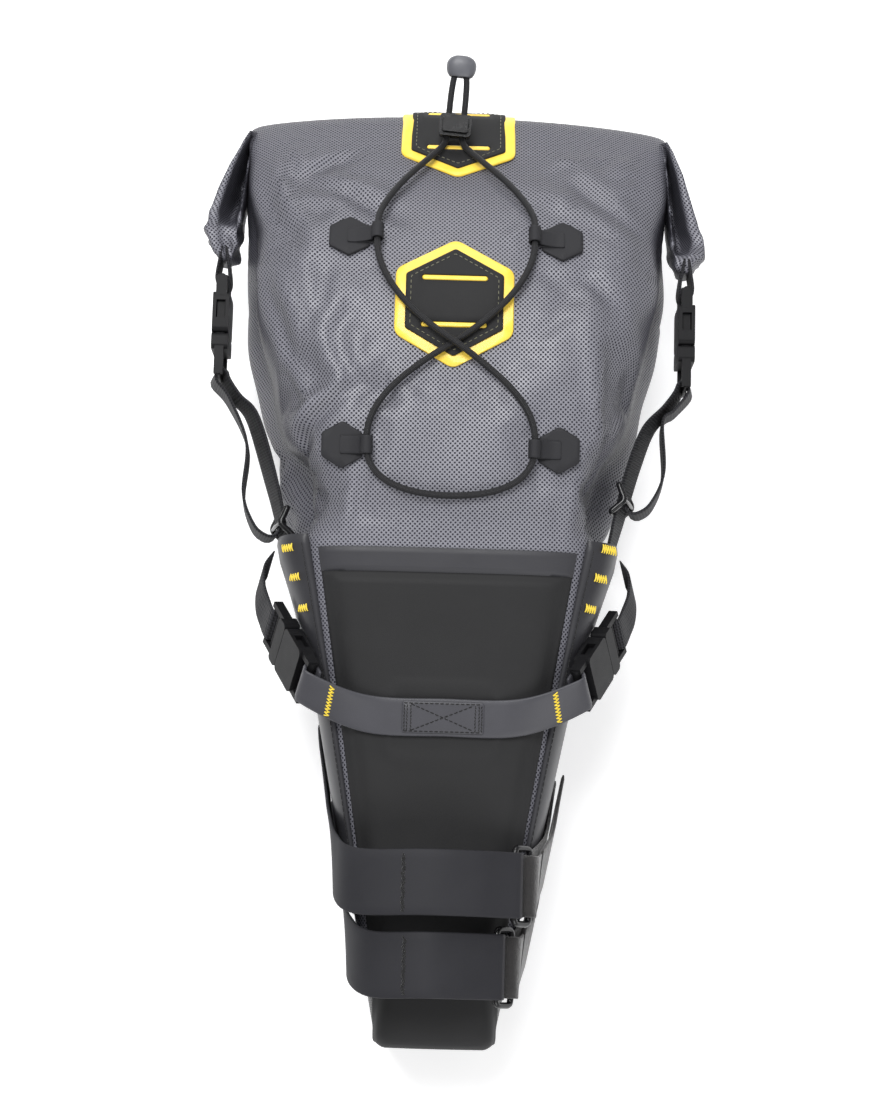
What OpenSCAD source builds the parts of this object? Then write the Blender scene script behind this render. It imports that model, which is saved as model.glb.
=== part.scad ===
// Seat pack for a bicycle: a roll-top dry bag that hangs under the saddle and
// straps to the seatpost. The bag lies on its flat underside, nose towards -Y,
// roll closure towards +Y, +Z up. The origin is the centre of the underside.
// "Station" means the distance in mm from the nose, measured along Y.

/* [Bag body] */
// Width of the body at the nose
nose_w = 64; // [56:1:72]
// Width of the body where the moulded front panel ends
waist_w = 164; // [150:1:176]
// Width of the body at the roll closure
tail_w = 234; // [222:1:246]
// Height of the body at the nose
nose_h = 78; // [70:1:84]
// Rise of the top face per mm of length, in front of the crown
front_rise = 0.2125; // [0.19:0.0025:0.23]
// Station where the moulded front panel ends
waist_y = 255; // [250:1:260]
// Station of the highest point of the top face
crown_y = 372; // [366:1:378]
// Station of the bag's mouth, where the roll closure begins
mouth_y = 460; // [458:1:462]
// Height of the underside at the mouth
mouth_floor = 54; // [50:1:58]
// Thickness of the coated fabric
fabric_t = 2; // [1.6:0.1:2.4]

/* [Front panel] */
// Width of the moulded panel at the nose
panel_nose_w = 55; // [52:1:60]
// Width of the moulded panel at its top edge
panel_waist_w = 136; // [128:1:140]
// Thickness of the moulded panel
panel_t = 4.6; // [4:0.1:5]
// Depth of the welded header band at the panel's top edge
header_d = 12; // [10:1:14]

/* [Straps] */
// Width of the side and rail webbing
webbing_w = 20; // [18:1:20]
// Thickness of the webbing
webbing_t = 1.6; // [1.4:0.1:1.8]
// Width of the seatpost bands
band_w = 34; // [32:1:35]
// Stations of the two seatpost bands
band_y = [39, 81];
// Clear height between the front panel and the seatpost bands
post_gap = 30; // [28:1:31]
// Distance between each hook-and-loop tail and the strap that it closes on
tail_gap = 3.2; // [3:0.1:3.6]

/* [Closure] */
// Thickness of each folded-forward end of the roll
roll_end_t = 20; // [18:1:21]
// How far each end of the roll reaches forward of the mouth
roll_end_reach = 36; // [32:1:38]

/* [Cord] */
// Diameter of the elastic cord
cord_d = 4; // [3.6:0.1:4.2]
// Radial clearance between the cord and the bores that it runs in
cord_clear = 0.3; // [0.25:0.05:0.4]
// Station of the row of upper cord anchors, and of the lower row
anchor_y = [307, 422];

/* [Light patches] */
// Width across the flats of the yellow hexagon
hex_w = 63; // [60:1:64]
// Width of the black hexagon that is sewn over it
hex_face_w = 52; // [49:1:53]

/* [Hidden] */

// Station that becomes y = 0: the centre of the underside
origin_station = 180;
gap = 0.4;                       // air between pieces that only touch in use
floor_z = 1.6;                   // underside of the shell, above the underside panel
section_power = 5;               // superellipse power of the body's cross-section
ring_n = 32;                     // points round one cross-section
crown_z = nose_h + front_rise * (waist_y + (crown_y - waist_y) / 2);
tail_drop = 0.0034;              // how fast the top face falls behind the crown
floor_y = 345;                   // station where the underside starts to rise

// ---------- general functions ----------

function spow(v, p) = sign(v) * pow(abs(v), p);
function unit(v) = v / norm(v);
function steps(n) = [for (i = [0 : n]) i / n];
function bezier(p, t) =
    pow(1 - t, 3) * p[0] + 3 * pow(1 - t, 2) * t * p[1] + 3 * (1 - t) * t * t * p[2] + pow(t, 3) * p[3];
function mirror_x(points) = [for (q = points) [-q[0], q[1], q[2]]];
function tangent(path, i) = unit(path[min(i + 1, len(path) - 1)] - path[max(i - 1, 0)]);

// A smooth curve through the given points, with n steps between each pair
function smooth_path(p, n) = concat(
    [for (i = [0 : len(p) - 2]) for (k = [0 : n - 1]) spline(p, i, k / n)], [p[len(p) - 1]]);
function spline(p, i, t) =
    let (a = p[max(i - 1, 0)], b = p[i], c = p[i + 1], d = p[min(i + 2, len(p) - 1)])
    0.5 * (2 * b + (c - a) * t + (2 * a - 5 * b + 4 * c - d) * t * t
        + (3 * b - a - 3 * c + d) * t * t * t);

// A point reached by turning downwards at radius r from point p, heading a, over length s
function turn(p, a, r, s) =
    let (h = a - s / r * 180 / PI) p + r * [sin(a) - sin(h), cos(h) - cos(a)];

// ---------- the body's form ----------

function half_w(y) =
    y < waist_y ? (nose_w + (waist_w - nose_w) * y / waist_y) / 2
    : waist_w / 2 + (tail_w - waist_w) / 2 * swell(min((y - waist_y) / 170, 1));
function swell(t) = t + t * t * (1 - t);
function top_z(y) =
    y < waist_y ? nose_h + front_rise * y
    : y < crown_y
    ? nose_h + front_rise * (y - (y - waist_y) * (y - waist_y) / (2 * (crown_y - waist_y)))
    : crown_z - tail_drop * (y - crown_y) * (y - crown_y);
function bottom_z(y) =
    y < floor_y ? floor_z
    : floor_z + (mouth_floor - floor_z) * pow((y - floor_y) / (mouth_y - floor_y), 2);
function top_slope(y) = atan(top_z(y + 0.5) - top_z(y - 0.5));
function surface_z(x, y) =
    let (t = top_z(y), b = (t - bottom_z(y)) / 2, k = pow(abs(x) / half_w(y), section_power))
    t - b + b * pow(1 - k, 1 / section_power);

// A point on the body's cross-section at station y and angle a, moved outwards by off
function section_point(y, a, off) =
    let (b = (top_z(y) - bottom_z(y)) / 2, zc = (top_z(y) + bottom_z(y)) / 2)
    [(half_w(y) + off) * spow(cos(a), 2 / section_power), y,
     zc + (b + off) * spow(sin(a), 2 / section_power)];
function section_ring(y, off) =
    [for (i = [0 : ring_n - 1]) section_point(y, 360 * (i + 0.5) / ring_n, off)];

// Half the width of the moulded panel at station y
function panel_half(y) = (panel_nose_w + (panel_waist_w - panel_nose_w) * y / waist_y) / 2;

// ---------- general modules ----------

// A closed solid through rings that all have the same number of points
module loft(rings) {
    n = len(rings);
    m = len(rings[0]);
    polyhedron(
        points = [for (r = rings) for (q = r) q],
        faces = concat(
            [[for (j = [m - 1 : -1 : 0]) j]],
            [for (i = [0 : n - 2]) for (j = [0 : m - 1])
                for (f = [0, 1]) f == 0
                    ? [i * m + j, i * m + (j + 1) % m, (i + 1) * m + (j + 1) % m]
                    : [i * m + j, (i + 1) * m + (j + 1) % m, (i + 1) * m + j]],
            [[for (j = [0 : m - 1]) (n - 1) * m + j]]),
        convexity = 6);
}

// A flat strip of width w and thickness t along a path; across gives its width direction at each point
module ribbon(path, across, w, t) {
    loft([for (i = [0 : len(path) - 1])
        let (d = unit(across[i]), v = unit(cross(d, tangent(path, i))))
        [path[i] - d * w / 2 - v * t / 2, path[i] + d * w / 2 - v * t / 2,
         path[i] + d * w / 2 + v * t / 2, path[i] - d * w / 2 + v * t / 2]]);
}
function same(path, d) = [for (q = path) d];

// A round cord along a path
module cord(path, d, sides = 8) {
    loft([for (i = [0 : len(path) - 1])
        let (t = tangent(path, i), side = unit(cross(t, [0, 0, 1])), v = cross(side, t))
        [for (k = [0 : sides - 1])
            path[i] + d / 2 * (cos(360 * k / sides) * side + sin(360 * k / sides) * v)]]);
}

// Stands its children at a point, with their +X along axis and their +Z as near to up as it can be
module stand(p, axis, up) {
    x = unit(axis);
    y = unit(cross(up, x));
    z = cross(x, y);
    multmatrix([[x[0], y[0], z[0], p[0]], [x[1], y[1], z[1], p[1]], [x[2], y[2], z[2], p[2]]])
        children();
}

// Moves stations to row coordinates
module placed() { translate([0, -origin_station, 0]) children(); }

// Left-hand pieces are drawn as they are and right-hand ones mirrored
module on_side(right) { if (right) mirror([1, 0, 0]) children(); else children(); }

// A box with corners rounded in plan
module slab(size, r) {
    linear_extrude(size[2]) rounded_rect(size[0], size[1], r);
}
module rounded_rect(w, h, r) {
    square([w, h - 2 * r], center = true);
    square([w - 2 * r, h], center = true);
    for (sx = [-1, 1]) for (sy = [-1, 1])
        translate([sx * (w / 2 - r), sy * (h / 2 - r)]) circle(r, $fn = 32);
}
module stadium(length, w) {
    square([length - w, w], center = true);
    for (s = [-1, 1]) translate([s * (length - w) / 2, 0]) circle(w / 2, $fn = 32);
}

// ---------- bag body ----------

shell_stations = [0, 14, 70, 140, 200, 255, 300, 345, 380, 410, 435, mouth_y];

module bag_shell() color("#6f7079") placed() {
    inner = [for (y = shell_stations) max(y, fabric_t)];
    rings = concat(
        [section_ring(0, -3)],
        [for (y = shell_stations) section_ring(max(y, 3), 0)],
        [for (i = [len(inner) - 1 : -1 : 0]) section_ring(inner[i] + (i == 0 ? 3 : 0), -fabric_t)]);
    loft(rings);
}

// One section of a sheet that follows the top face, from off0 to off1 above it
sheet_x = [-1, -0.9, -0.8, -0.65, -0.4, 0, 0.4, 0.65, 0.8, 0.9, 1];
function top_ring(y, half, off0, off1) =
    let (xs = [for (k = sheet_x) half * k])
    concat([for (x = xs) [x, y, surface_z(x, y) + off0]],
           [for (i = [len(xs) - 1 : -1 : 0]) [xs[i], y, surface_z(xs[i], y) + off1]]);

module front_panel() color("#2b2b2d") placed() {
    top = waist_y - header_d;
    loft([for (y = [-lip_t, 0, 50, 100, 150, 200, top]) top_ring(y, panel_half(y), gap, panel_t)]);
    panel_lip();
}

// The panel's lip, which turns down over the end of the nose
lip_t = 3;
module panel_lip() {
    w = panel_nose_w;
    translate([0, -gap, 0]) rotate([90, 0, 0]) linear_extrude(lip_t - 1) difference() {
        translate([0, nose_h / 2 + 3]) rounded_rect(w - 1, nose_h - 8, 7);
        translate([-w / 2, nose_h - 3]) square([w, 9]);
    }
}

// The header band is a straight strip with the body's section at the waist
function header_point(k, off) = let (x = k * panel_half(waist_y - header_d))
    [x, (surface_z(x, waist_y) - top_z(waist_y)) * cos(atan(front_rise)) + off];
module panel_header() color("#3a3a3e") placed()
    translate([0, waist_y, top_z(waist_y)]) rotate([90 + atan(front_rise), 0, 0])
        linear_extrude(header_d - gap) polygon(concat(
            [for (k = sheet_x) header_point(k, gap)],
            [for (k = sheet_x) header_point(-k, 2.2)]));

module underside_panel() color("#242426") placed() {
    y0 = 20;
    y1 = floor_y - 10;
    linear_extrude(floor_z - gap)
        polygon([[-22, y0], [22, y0], [72, waist_y], [86, y1], [-86, y1], [-72, waist_y]]);
}

module nose_stiffener() color("#1c1c1e") placed() {
    loft([for (y = [14, 120, 238]) top_ring(y, panel_half(y) - 8, -fabric_t - 3, -fabric_t - 1.5)]);
}

// The load wing wraps the shoulder and side of the body and stands off it towards its back edge
wing_t = 1.6;
wing_stations = [66, 110, 160, 185, 210, 236, 262];
function wing_angle(y, k) = 46 - 2 * y / waist_y - k * (64 + 8 * y / waist_y);
function wing_rise(y, k) = 7 * sin(180 * k) * pow(max(0, min(1, (y - 180) / 70)), 1.5);
function wing_point(y, k, off) = section_point(y, 180 - wing_angle(y, k), 0.6 + wing_rise(y, k) + off);
module wing(right) color("#303033") placed() on_side(right) {
    n = 10;
    loft([for (y = wing_stations)
        concat([for (k = steps(n)) wing_point(y, k, 0)],
               [for (k = steps(n)) wing_point(y, 1 - k, wing_t)])]);
}

bartack_stations = [224, 240, 255];
module wing_bartacks(right) color("#f2d21b") placed() on_side(right)
    for (y = bartack_stations) {
        p = wing_point(y, 0.15, wing_t + 1);
        q = wing_point(y, 0.27, wing_t + 1);
        stand((p + q) / 2, q - p, [-1, 0, 1]) cube([9, 3, 0.8], center = true);
    }

// ---------- rail strap and its buckles ----------

rail_y = 167;
rail_z = top_z(rail_y) + panel_t + 1.6;
// The left-hand buckle's axis, outwards along the webbing, and the way that its face looks
rail_axis = unit([-19, 32, -30]);
rail_across = unit(cross([-0.93, 0, 0.37], -rail_axis));
rail_face = cross(-rail_axis, rail_across);
rail_bar = [-72, 184, 117.2];
bar_turn = 3.4;
rail_half_path = smooth_path([
    [0, rail_y, rail_z], [-32, rail_y, rail_z], [-52, rail_y + 4, rail_z + 1.2],
    rail_bar + bar_turn * rail_face - 5 * rail_axis, rail_bar + bar_turn * rail_face,
    rail_bar + 0.7 * bar_turn * (rail_face + rail_axis), rail_bar + bar_turn * rail_axis,
    rail_bar - 0.7 * bar_turn * (rail_face - rail_axis), rail_bar - bar_turn * rail_face,
    rail_bar - bar_turn * rail_face - 5 * rail_axis], 2);
rail_tilt = [0, 1, front_rise];
rail_half_across = [for (i = [0 : len(rail_half_path) - 1])
    rail_tilt + (rail_across - rail_tilt) * min(1, max(0, (i - 2) / 4))];

module rail_strap() color("#38383c") placed() {
    n = len(rail_half_path) - 1;
    ribbon(concat([for (i = [n : -1 : 1]) rail_half_path[i]], mirror_x(rail_half_path)),
           concat([for (i = [n : -1 : 1]) rail_half_across[i]], mirror_x(rail_half_across)),
           webbing_w, webbing_t);
}

module rail_strap_patch() color("#303034") placed()
    translate([0, rail_y, rail_z + webbing_t / 2 + 0.2]) rotate([atan(front_rise), 0, 0])
        slab([43, 17, 0.9], 1.5);

module rail_strap_bartacks() color("#f2d21b") placed() for (s = [0, 1]) mirror([s, 0, 0]) {
    d = unit(rail_half_across[5]);
    t = tangent(rail_half_path, 5);
    n = -unit(cross(d, t));
    m = rail_half_path[5] + 1.4 * n;
    ribbon([m - 1.2 * t, m + 1.2 * t], [d, d], 17, 0.7);
}

// Both halves of a side-release buckle share one frame: +X is the way that the plug goes in,
// Y is across and Z is out of its face. The socket's mouth is at x = 0.
buckle_w = 27;
buckle_t = 9;
socket_l = 23;
bar_l = 11;
bar_x = 31;
cavity_w = 22.4;
cavity_t = 5;
prong_w = 4;
bar_d = 3;
plug_base_l = 9;
plug_bar_x = 22.5;

module buckle_socket() color("#1d1d1f") {
    difference() {
        translate([socket_l / 2, 0, -buckle_t / 2]) slab([socket_l, buckle_w, buckle_t], 3);
        translate([-1, -cavity_w / 2, -cavity_t / 2]) cube([socket_l - 1, cavity_w, cavity_t]);
        translate([13, 0, 0]) cube([10, buckle_w + 2, cavity_t], center = true);
    }
    for (s = [-1, 1]) translate([socket_l - 3, s * (buckle_w / 2 - 1.6) - 1.5, -buckle_t / 2 + 1.5])
        cube([bar_l + 1, 3, buckle_t - 3]);
    translate([bar_x, buckle_w / 2 - 1, 0]) rotate([90, 0, 0])
        cylinder(d = bar_d + 1.6, h = buckle_w - 2, $fn = 32);
}

module buckle_plug() color("#1d1d1f") {
    reach = 19;
    translate([-plug_base_l / 2 - gap, 0, -buckle_t / 2]) slab([plug_base_l, buckle_w, buckle_t], 2.5);
    for (s = [-1, 1]) translate([-1, s * (cavity_w / 2 - prong_w / 2 - 0.4) - prong_w / 2, -2.1])
        cube([reach, prong_w, 4.2]);
    translate([-1, 0, 0]) rotate([0, 90, 0]) cylinder(d = 3.6, h = reach - 4, $fn = 24);
    for (s = [-1, 1]) translate([-plug_bar_x - 1, s * (buckle_w / 2 - 1.6) - 1.5, -2.5])
        cube([plug_bar_x - plug_base_l + 2, 3, 5]);
    for (x = [-plug_bar_x, -plug_bar_x + 6.5]) translate([x, buckle_w / 2 - 1, 0])
        rotate([90, 0, 0]) cylinder(d = bar_d, h = buckle_w - 2, $fn = 32);
}

rail_mouth = rail_bar + rail_axis * bar_x;
module rail_socket(right)
    placed() on_side(right) stand(rail_mouth, -rail_axis, rail_face) buckle_socket();
module rail_plug(right) placed() on_side(right) stand(rail_mouth, -rail_axis, rail_face) buckle_plug();

// The webbing turns round the plug's end bar and loops back behind the wing
rail_plug_bar = rail_mouth + rail_axis * plug_bar_x;
plug_turn = 2.7;
rail_webbing_path = smooth_path([
    rail_plug_bar - plug_turn * rail_face + 3 * rail_axis,
    for (t = [0 : 45 : 180]) rail_plug_bar - plug_turn * (cos(t) * rail_face + sin(t) * rail_axis),
    rail_plug_bar + [-5, 6, -4], rail_plug_bar + [-8, 15, -8],
    rail_plug_bar + [-8, 26, -9], rail_plug_bar + [-3, 33, -6]], 3);
module rail_webbing(right) color("#1f1f21") placed() on_side(right)
    ribbon(rail_webbing_path, same(rail_webbing_path, rail_across), webbing_w - 1, webbing_t);

// ---------- seatpost bands ----------

// Where a strap lies against the bag's side, and the height of the panel's face at a station
side_off = 3.7;
function side_x(y) = half_w(y) + side_off;
function face_z(y) = top_z(y) + panel_t;
side_slope = (waist_w - nose_w) / 2 / waist_y;
ring_span = 13;
ring_bar_d = 3.6;
ring_t = 3;
ring_turn = ring_bar_d / 2 + 1.9;
function ring_a(y) = [half_w(y) - 8.4, y, face_z(y) + 14];
function ring_b(y) = ring_a(y) + ring_span * unit([8, 0, -10]);

// Width direction of a strap: along the bag's side low down, and along the panel on top
function strap_across(path, y, s) = [for (q = path)
    [s * side_slope * max(0, min(1, (face_z(y) + 8 - q[2]) / 26)), 1, 0]];

// A band starts low on the left side, crosses the panel in an arch and turns back round its ring
function band_path(y) = let (f = face_z(y), a = ring_a(y), r = ring_turn) smooth_path([
    [-side_x(y + 74), y + 74, f - 76], [-side_x(y + 62) - 3.2, y + 62, f - 62],
    [-side_x(y + 44) - 4, y + 44, f - 42], [-side_x(y + 24) - 4, y + 24, f - 18],
    [-side_x(y + 8) - 2.5, y + 8, f + 8], [-side_x(y) + 10, y, f + post_gap - 6],
    [-8, y, f + post_gap + 1.5], [half_w(y) - 29, y, f + post_gap - 2],
    a + [-5, 0, 6.8], for (t = [90 : -45 : -90]) a + r * [cos(t), 0, sin(t)],
    a + [-8, 0, 3], [half_w(y) - 24, y, f + post_gap - 6.6], [half_w(y) - 36, y, f + post_gap - 4]], 3);

module seatpost_band(y) color("#36363b") placed() {
    path = band_path(y);
    ribbon(path, strap_across(path, y, -1), band_w, webbing_t);
}

module seatpost_ring(y) color("#222224") placed() {
    a = ring_a(y);
    b = ring_b(y);
    reach = band_w + 1.6;
    stand((a + b) / 2, b - a, [1, 0, 1]) translate([0, 0, -ring_t / 2])
    linear_extrude(ring_t) difference() {
        rounded_rect(ring_span + ring_bar_d, reach + 2 * ring_bar_d, 2.4);
        square([ring_span - ring_bar_d, reach], center = true);
    }
}

// The hook-and-loop strap runs up the right side, round the ring's outer bar and a little way down.
// Its tail, the part that peels off, carries on from there to its free end.
function hook_path(y) = let (b = ring_b(y), f = face_z(y)) smooth_path([
    [side_x(y + 46), y + 46, f - 62], [side_x(y + 32), y + 32, f - 42], [side_x(y + 14), y + 14, f - 20],
    b + [0.4, 4, -9], for (t = [205 : -45 : -20]) b + (ring_turn + 0.2) * [cos(t), 0, sin(t)],
    peel_point(y) + [-0.4, -1.4, 2.4]], 3);
function peel_point(y) = ring_b(y) + [5.4, 3.6, -9.6];
function tail_path(y) = let (f = face_z(y), g = tail_gap) smooth_path([
    peel_point(y), peel_point(y) + [0.6, 2.4, -3.6], [side_x(y + 16) + g, y + 16, f - 22],
    [side_x(y + 34) + g, y + 34, f - 36], [side_x(y + 48) + g, y + 48, f - 46]], 3);

module hook_strap(y) color("#2a2a2d") placed()
    ribbon(hook_path(y), strap_across(hook_path(y), y, 1), band_w - 2, webbing_t);
module hook_tail(y) color("#2f2f31") placed()
    ribbon(tail_path(y), strap_across(tail_path(y), y, 1), band_w - 2, webbing_t);

// ---------- light patches ----------

hex_r = hex_w / sqrt(3);
face_r = hex_face_w / sqrt(3);
slot_l = 35;
slot_w = 3;
slot_gap = 26;
patch_y = 385;
function hex_half(s, r) = abs(s) < r / 2 ? r * sqrt(3) / 2 : max(r * sqrt(3) * (1 - abs(s) / r), 1.5);

// A hexagon that lies on the top face, centred on station y
module top_hex(y, r, off0, off1) {
    loft([for (k = [-1, -0.75, -0.5, -0.25, 0, 0.25, 0.5, 0.75, 1])
        let (s = y + k * r * cos(top_slope(y)), w = hex_half(k * r, r), z = top_z(s))
        [[-w, s, z + off0], [w, s, z + off0], [w, s, z + off1], [-w, s, z + off1]]]);
}

module light_patch_base_top() color("#f5cf2c") placed() top_hex(patch_y, hex_r, 0.5, 1.6);
module light_patch_face_top() color("#2c2c2e") placed() difference() {
    top_hex(patch_y, face_r, 1.7, 2.9);
    for (s = [-1, 1]) translate([0, patch_y + s * slot_gap / 2, 100])
        linear_extrude(80) stadium(slot_l, slot_w);
}

// ---------- roll closure ----------

roll_start = [mouth_y + 0.5, top_z(mouth_y + 0.5)];
roll_heading = top_slope(mouth_y);
roll_r1 = 277;
roll_s1 = 46;
roll_turn = turn(roll_start, roll_heading, roll_r1, roll_s1);
roll_heading2 = roll_heading - roll_s1 / roll_r1 * 180 / PI;
roll_r2 = 21;
roll_s2 = roll_r2 * (180 + roll_heading2) * PI / 180;
// Height of the roll's centre line and how far forward its folded ends reach
roll_z = 84;
end_y = mouth_y - roll_end_reach;
end_x = tail_w / 2 + 2.4;

// A point on the roll's outer face, s mm from the mouth, and its heading there
function roll_point(s) = s < roll_s1 ? turn(roll_start, roll_heading, roll_r1, s)
    : turn(roll_turn, roll_heading2, roll_r2, s - roll_s1);
function roll_angle(s) = s < roll_s1 ? roll_heading - s / roll_r1 * 180 / PI
    : roll_heading2 - (s - roll_s1) / roll_r2 * 180 / PI;

module roll_section() polygon(concat(
    [for (s = [0, 15, 30]) roll_point(s)],
    [for (k = steps(10)) roll_point(roll_s1 + roll_s2 * k)],
    [[mouth_y + 0.5, mouth_floor]]));

// Turns a drawing in the Y-Z plane into a bar along X
module along_x(w) {
    multmatrix([[0, 0, 1, -w / 2], [1, 0, 0, 0], [0, 1, 0, 0]]) linear_extrude(w) children();
}

stiffener_y = mouth_y + 12;
module roll_closure() color("#74757e") placed() {
    difference() {
        along_x(tail_w) roll_section();
        translate([0, stiffener_y, mouth_floor + 12]) cube([206, 2, 30], center = true);
    }
    for (s = [0, 1]) mirror([s, 0, 0]) roll_end();
}

// The end of the roll is folded forward along the side of the bag
module roll_end() {
    x = -end_x;
    translate([0, 0, roll_z - 22]) linear_extrude(42) polygon([
        [-tail_w / 2 + 4, mouth_y + 8], [-tail_w / 2 + 4, mouth_y + 38], [x, mouth_y + 36],
        [x - 10, mouth_y + 19], [x - 17, mouth_y + 2], [x - roll_end_t - 0.6, mouth_y - 16],
        [x - roll_end_t, end_y + 7], [x - roll_end_t + 5, end_y], [x - 4, end_y], [x, end_y + 5],
        [x, mouth_y + 8]]);
}

module roll_stiffener() color("#e8e8ea") placed()
    translate([0, stiffener_y, mouth_floor + 13]) cube([200, 1.2, 25], center = true);

roll_buckle_x = -end_x - roll_end_t / 2 + 1.5;
roll_mouth_y = 378;
roll_buckle_z = roll_z + 1;
module roll_socket(right) placed() on_side(right)
    stand([roll_buckle_x, roll_mouth_y, roll_buckle_z], [0, 1, 0], [-1, 0, 0]) buckle_socket();
module roll_plug(right) placed() on_side(right)
    stand([roll_buckle_x, roll_mouth_y, roll_buckle_z], [0, 1, 0], [-1, 0, 0]) buckle_plug();

// Webbing tab that runs from the roll's end round the socket's bar and back
module roll_tab(right) color("#1f1f21") placed() on_side(right) {
    y = roll_mouth_y + bar_x;
    path = [for (q = [[1.1, end_y - 0.6 - y], [3.3, 5], [bar_turn, 0], [2.4, -2.4], [0, -bar_turn],
                      [-2.4, -2.4], [-bar_turn, 0], [-3.3, 5], [-1.1, end_y - 0.6 - y]])
        [roll_buckle_x + q[0], y + q[1], roll_buckle_z]];
    ribbon(path, same(path, [0, 0, 1]), webbing_w - 1, webbing_t);
}

module light_patch_base_rear() color("#f5cf2c") placed() rear_hex(hex_r, 0.4, 1.5);
module light_patch_face_rear() color("#2c2c2e") placed() difference() {
    rear_hex(face_r, 1.9, 3);
    for (s = [-1, 1]) {
        c = roll_point(rear_patch_s + s * slot_gap / 2);
        translate([0, c[0], c[1]]) rotate([roll_angle(rear_patch_s + s * slot_gap / 2), 0, 0])
            translate([0, 0, -10]) linear_extrude(20) stadium(slot_l, slot_w);
    }
}
rear_patch_s = 39;
function roll_off(s, off) = let (p = roll_point(s), a = roll_angle(s)) p + off * [-sin(a), cos(a)];
module rear_hex(r, off0, off1) {
    loft([for (k = [-1, -0.75, -0.5, -0.25, 0, 0.2, 0.35, 0.5, 0.65, 0.8, 1])
        let (s = rear_patch_s + k * r, w = hex_half(k * r, r), a = roll_off(s, off0), b = roll_off(s, off1))
        [[-w, a[0], a[1]], [w, a[0], a[1]], [w, b[0], b[1]], [-w, b[0], b[1]]]]);
}

// ---------- elastic cord ----------

anchor_x = [44, 42];
cord_h = 5.8;                    // height of the cord's centre above the top face
cross_y = 362;
strand_y = 430;                  // where the bag's cord ends and the strands to the lock begin
cord_half = [
    [[-anchor_x[1], strand_y], [-anchor_x[1], 426], [-anchor_x[1], 424], [-anchor_x[1], anchor_y[1]]],
    [[-anchor_x[1], anchor_y[1]], [-43, 398], [-24, 378], [0, cross_y]],
    [[0, cross_y], [24, 346], [46, 330], [anchor_x[0], anchor_y[0]]],
    [[anchor_x[0], anchor_y[0]], [44.5, 288], [24, 281], [0, 281]]];
cord_plan = [for (b = cord_half) for (k = [0 : 5]) bezier(b, k / 6)];
// The first strand passes over the second one where they cross
function lift(p) = 3.4 * exp(-pow(norm(p - [0, cross_y]) / 14, 2));
function on_top(p, rise) = [p[0], p[1], top_z(p[1]) + cord_h + rise];
bungee_path = concat(
    [for (p = cord_plan) on_top(p, lift(p))], [on_top([0, 281], 0)],
    [for (i = [len(cord_plan) - 1 : -1 : 0])
        on_top([-cord_plan[i][0], cord_plan[i][1]], -lift(cord_plan[i]) / 5)]);

module bungee_cord() color("#18181a") placed() cord(bungee_path, cord_d);

// Each anchor is a hexagonal tab with a folded loop that holds the cord
tab_r = 12.6;
tab_x = 57;
loop_l = 9;
module at_anchor(i, s) mirror([s, 0, 0])
    translate([0, anchor_y[i], top_z(anchor_y[i])]) rotate([top_slope(anchor_y[i]), 0, 0]) children();

module cord_anchor_tabs() color("#2e2e31") placed() for (i = [0, 1]) for (s = [0, 1]) at_anchor(i, s)
    translate([-tab_x, 0, 0.6]) linear_extrude(1.2) circle(tab_r, $fn = 6);

module cord_anchor_loops() color("#333337") placed() for (i = [0, 1]) for (s = [0, 1]) at_anchor(i, s)
    translate([0, loop_l / 2, 0]) rotate([90, 0, 0]) linear_extrude(loop_l) difference() {
        hull() {
            translate([-anchor_x[i], cord_h]) circle(3.9, $fn = 32);
            translate([-tab_x + 1, 2]) square([4, 1.4]);
        }
        translate([-anchor_x[i], cord_h]) circle(3.1, $fn = 32);
    }

// The cord lock stands on the rear patch; its bores and its travel follow lock_axis
lock_p = [-2.5, 488.5, 110.5];
lock_axis = unit([0.075, 0.97, 0.2]);
lock_up = [0, -0.2, 0.97];
lock_l = 12;
lock_w = 17.5;
lock_h = 11;
strand_x = 4.2;
strand_z = -1.6;
tail_l = 38;
spring_d = 3.2;

module at_lock() placed() stand(lock_p, lock_axis, lock_up) children();

module cord_lock_body() color("#161618") at_lock() difference() {
    translate([lock_l / 2, 0, -lock_h / 2]) slab([lock_l, lock_w, lock_h], 2);
    for (s = [-1, 1]) translate([-1, s * strand_x, strand_z]) rotate([0, 90, 0])
        cylinder(r = cord_d / 2 + cord_clear, h = lock_l + 2, $fn = 32);
    translate([lock_l / 2, 0, lock_h / 2 - 3.4]) slab([8.6, 14.4, 6], 1);
}

module cord_lock_button() color("#202022") at_lock()
    translate([lock_l / 2, 0, lock_h / 2 - 0.4]) slab([8, 13.8, 3], 1);

module cord_lock_spring() color("#b9bcc2") at_lock()
    translate([lock_l / 2, 0, lock_h / 2 - 3.3]) difference() {
        cylinder(d = spring_d + 1.6, h = 2.8, $fn = 32);
        translate([0, 0, -1]) cylinder(d = spring_d, h = 6, $fn = 32);
    }

// The two strands between the upper anchors and the lock, and their tails beyond it
function strand_path(s) = let (e = lock_p + s * strand_x * [-1, 0, 0] - 3 * lock_axis + strand_z * lock_up)
    concat([e + 2 * lock_axis], [for (k = steps(7))
        let (p = bezier([[e[0], e[1]], [e[0], e[1] - 6], [-s * anchor_x[1], 450],
                         [-s * anchor_x[1], strand_y + 0.6]], k),
             z = top_z(p[1]) + cord_h + 1.8 * max(0, min(1, (p[1] - 445) / 15)))
        [p[0], p[1], k < 0.01 ? e[2] : z]]);

module cord_tails() color("#18181a") {
    at_lock() for (s = [-1, 1]) translate([-3, s * strand_x, strand_z]) rotate([0, 90, 0])
        cylinder(d = cord_d, h = tail_l + 3, $fn = 32);
    placed() for (s = [-1, 1]) cord(strand_path(s), cord_d);
}

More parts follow.
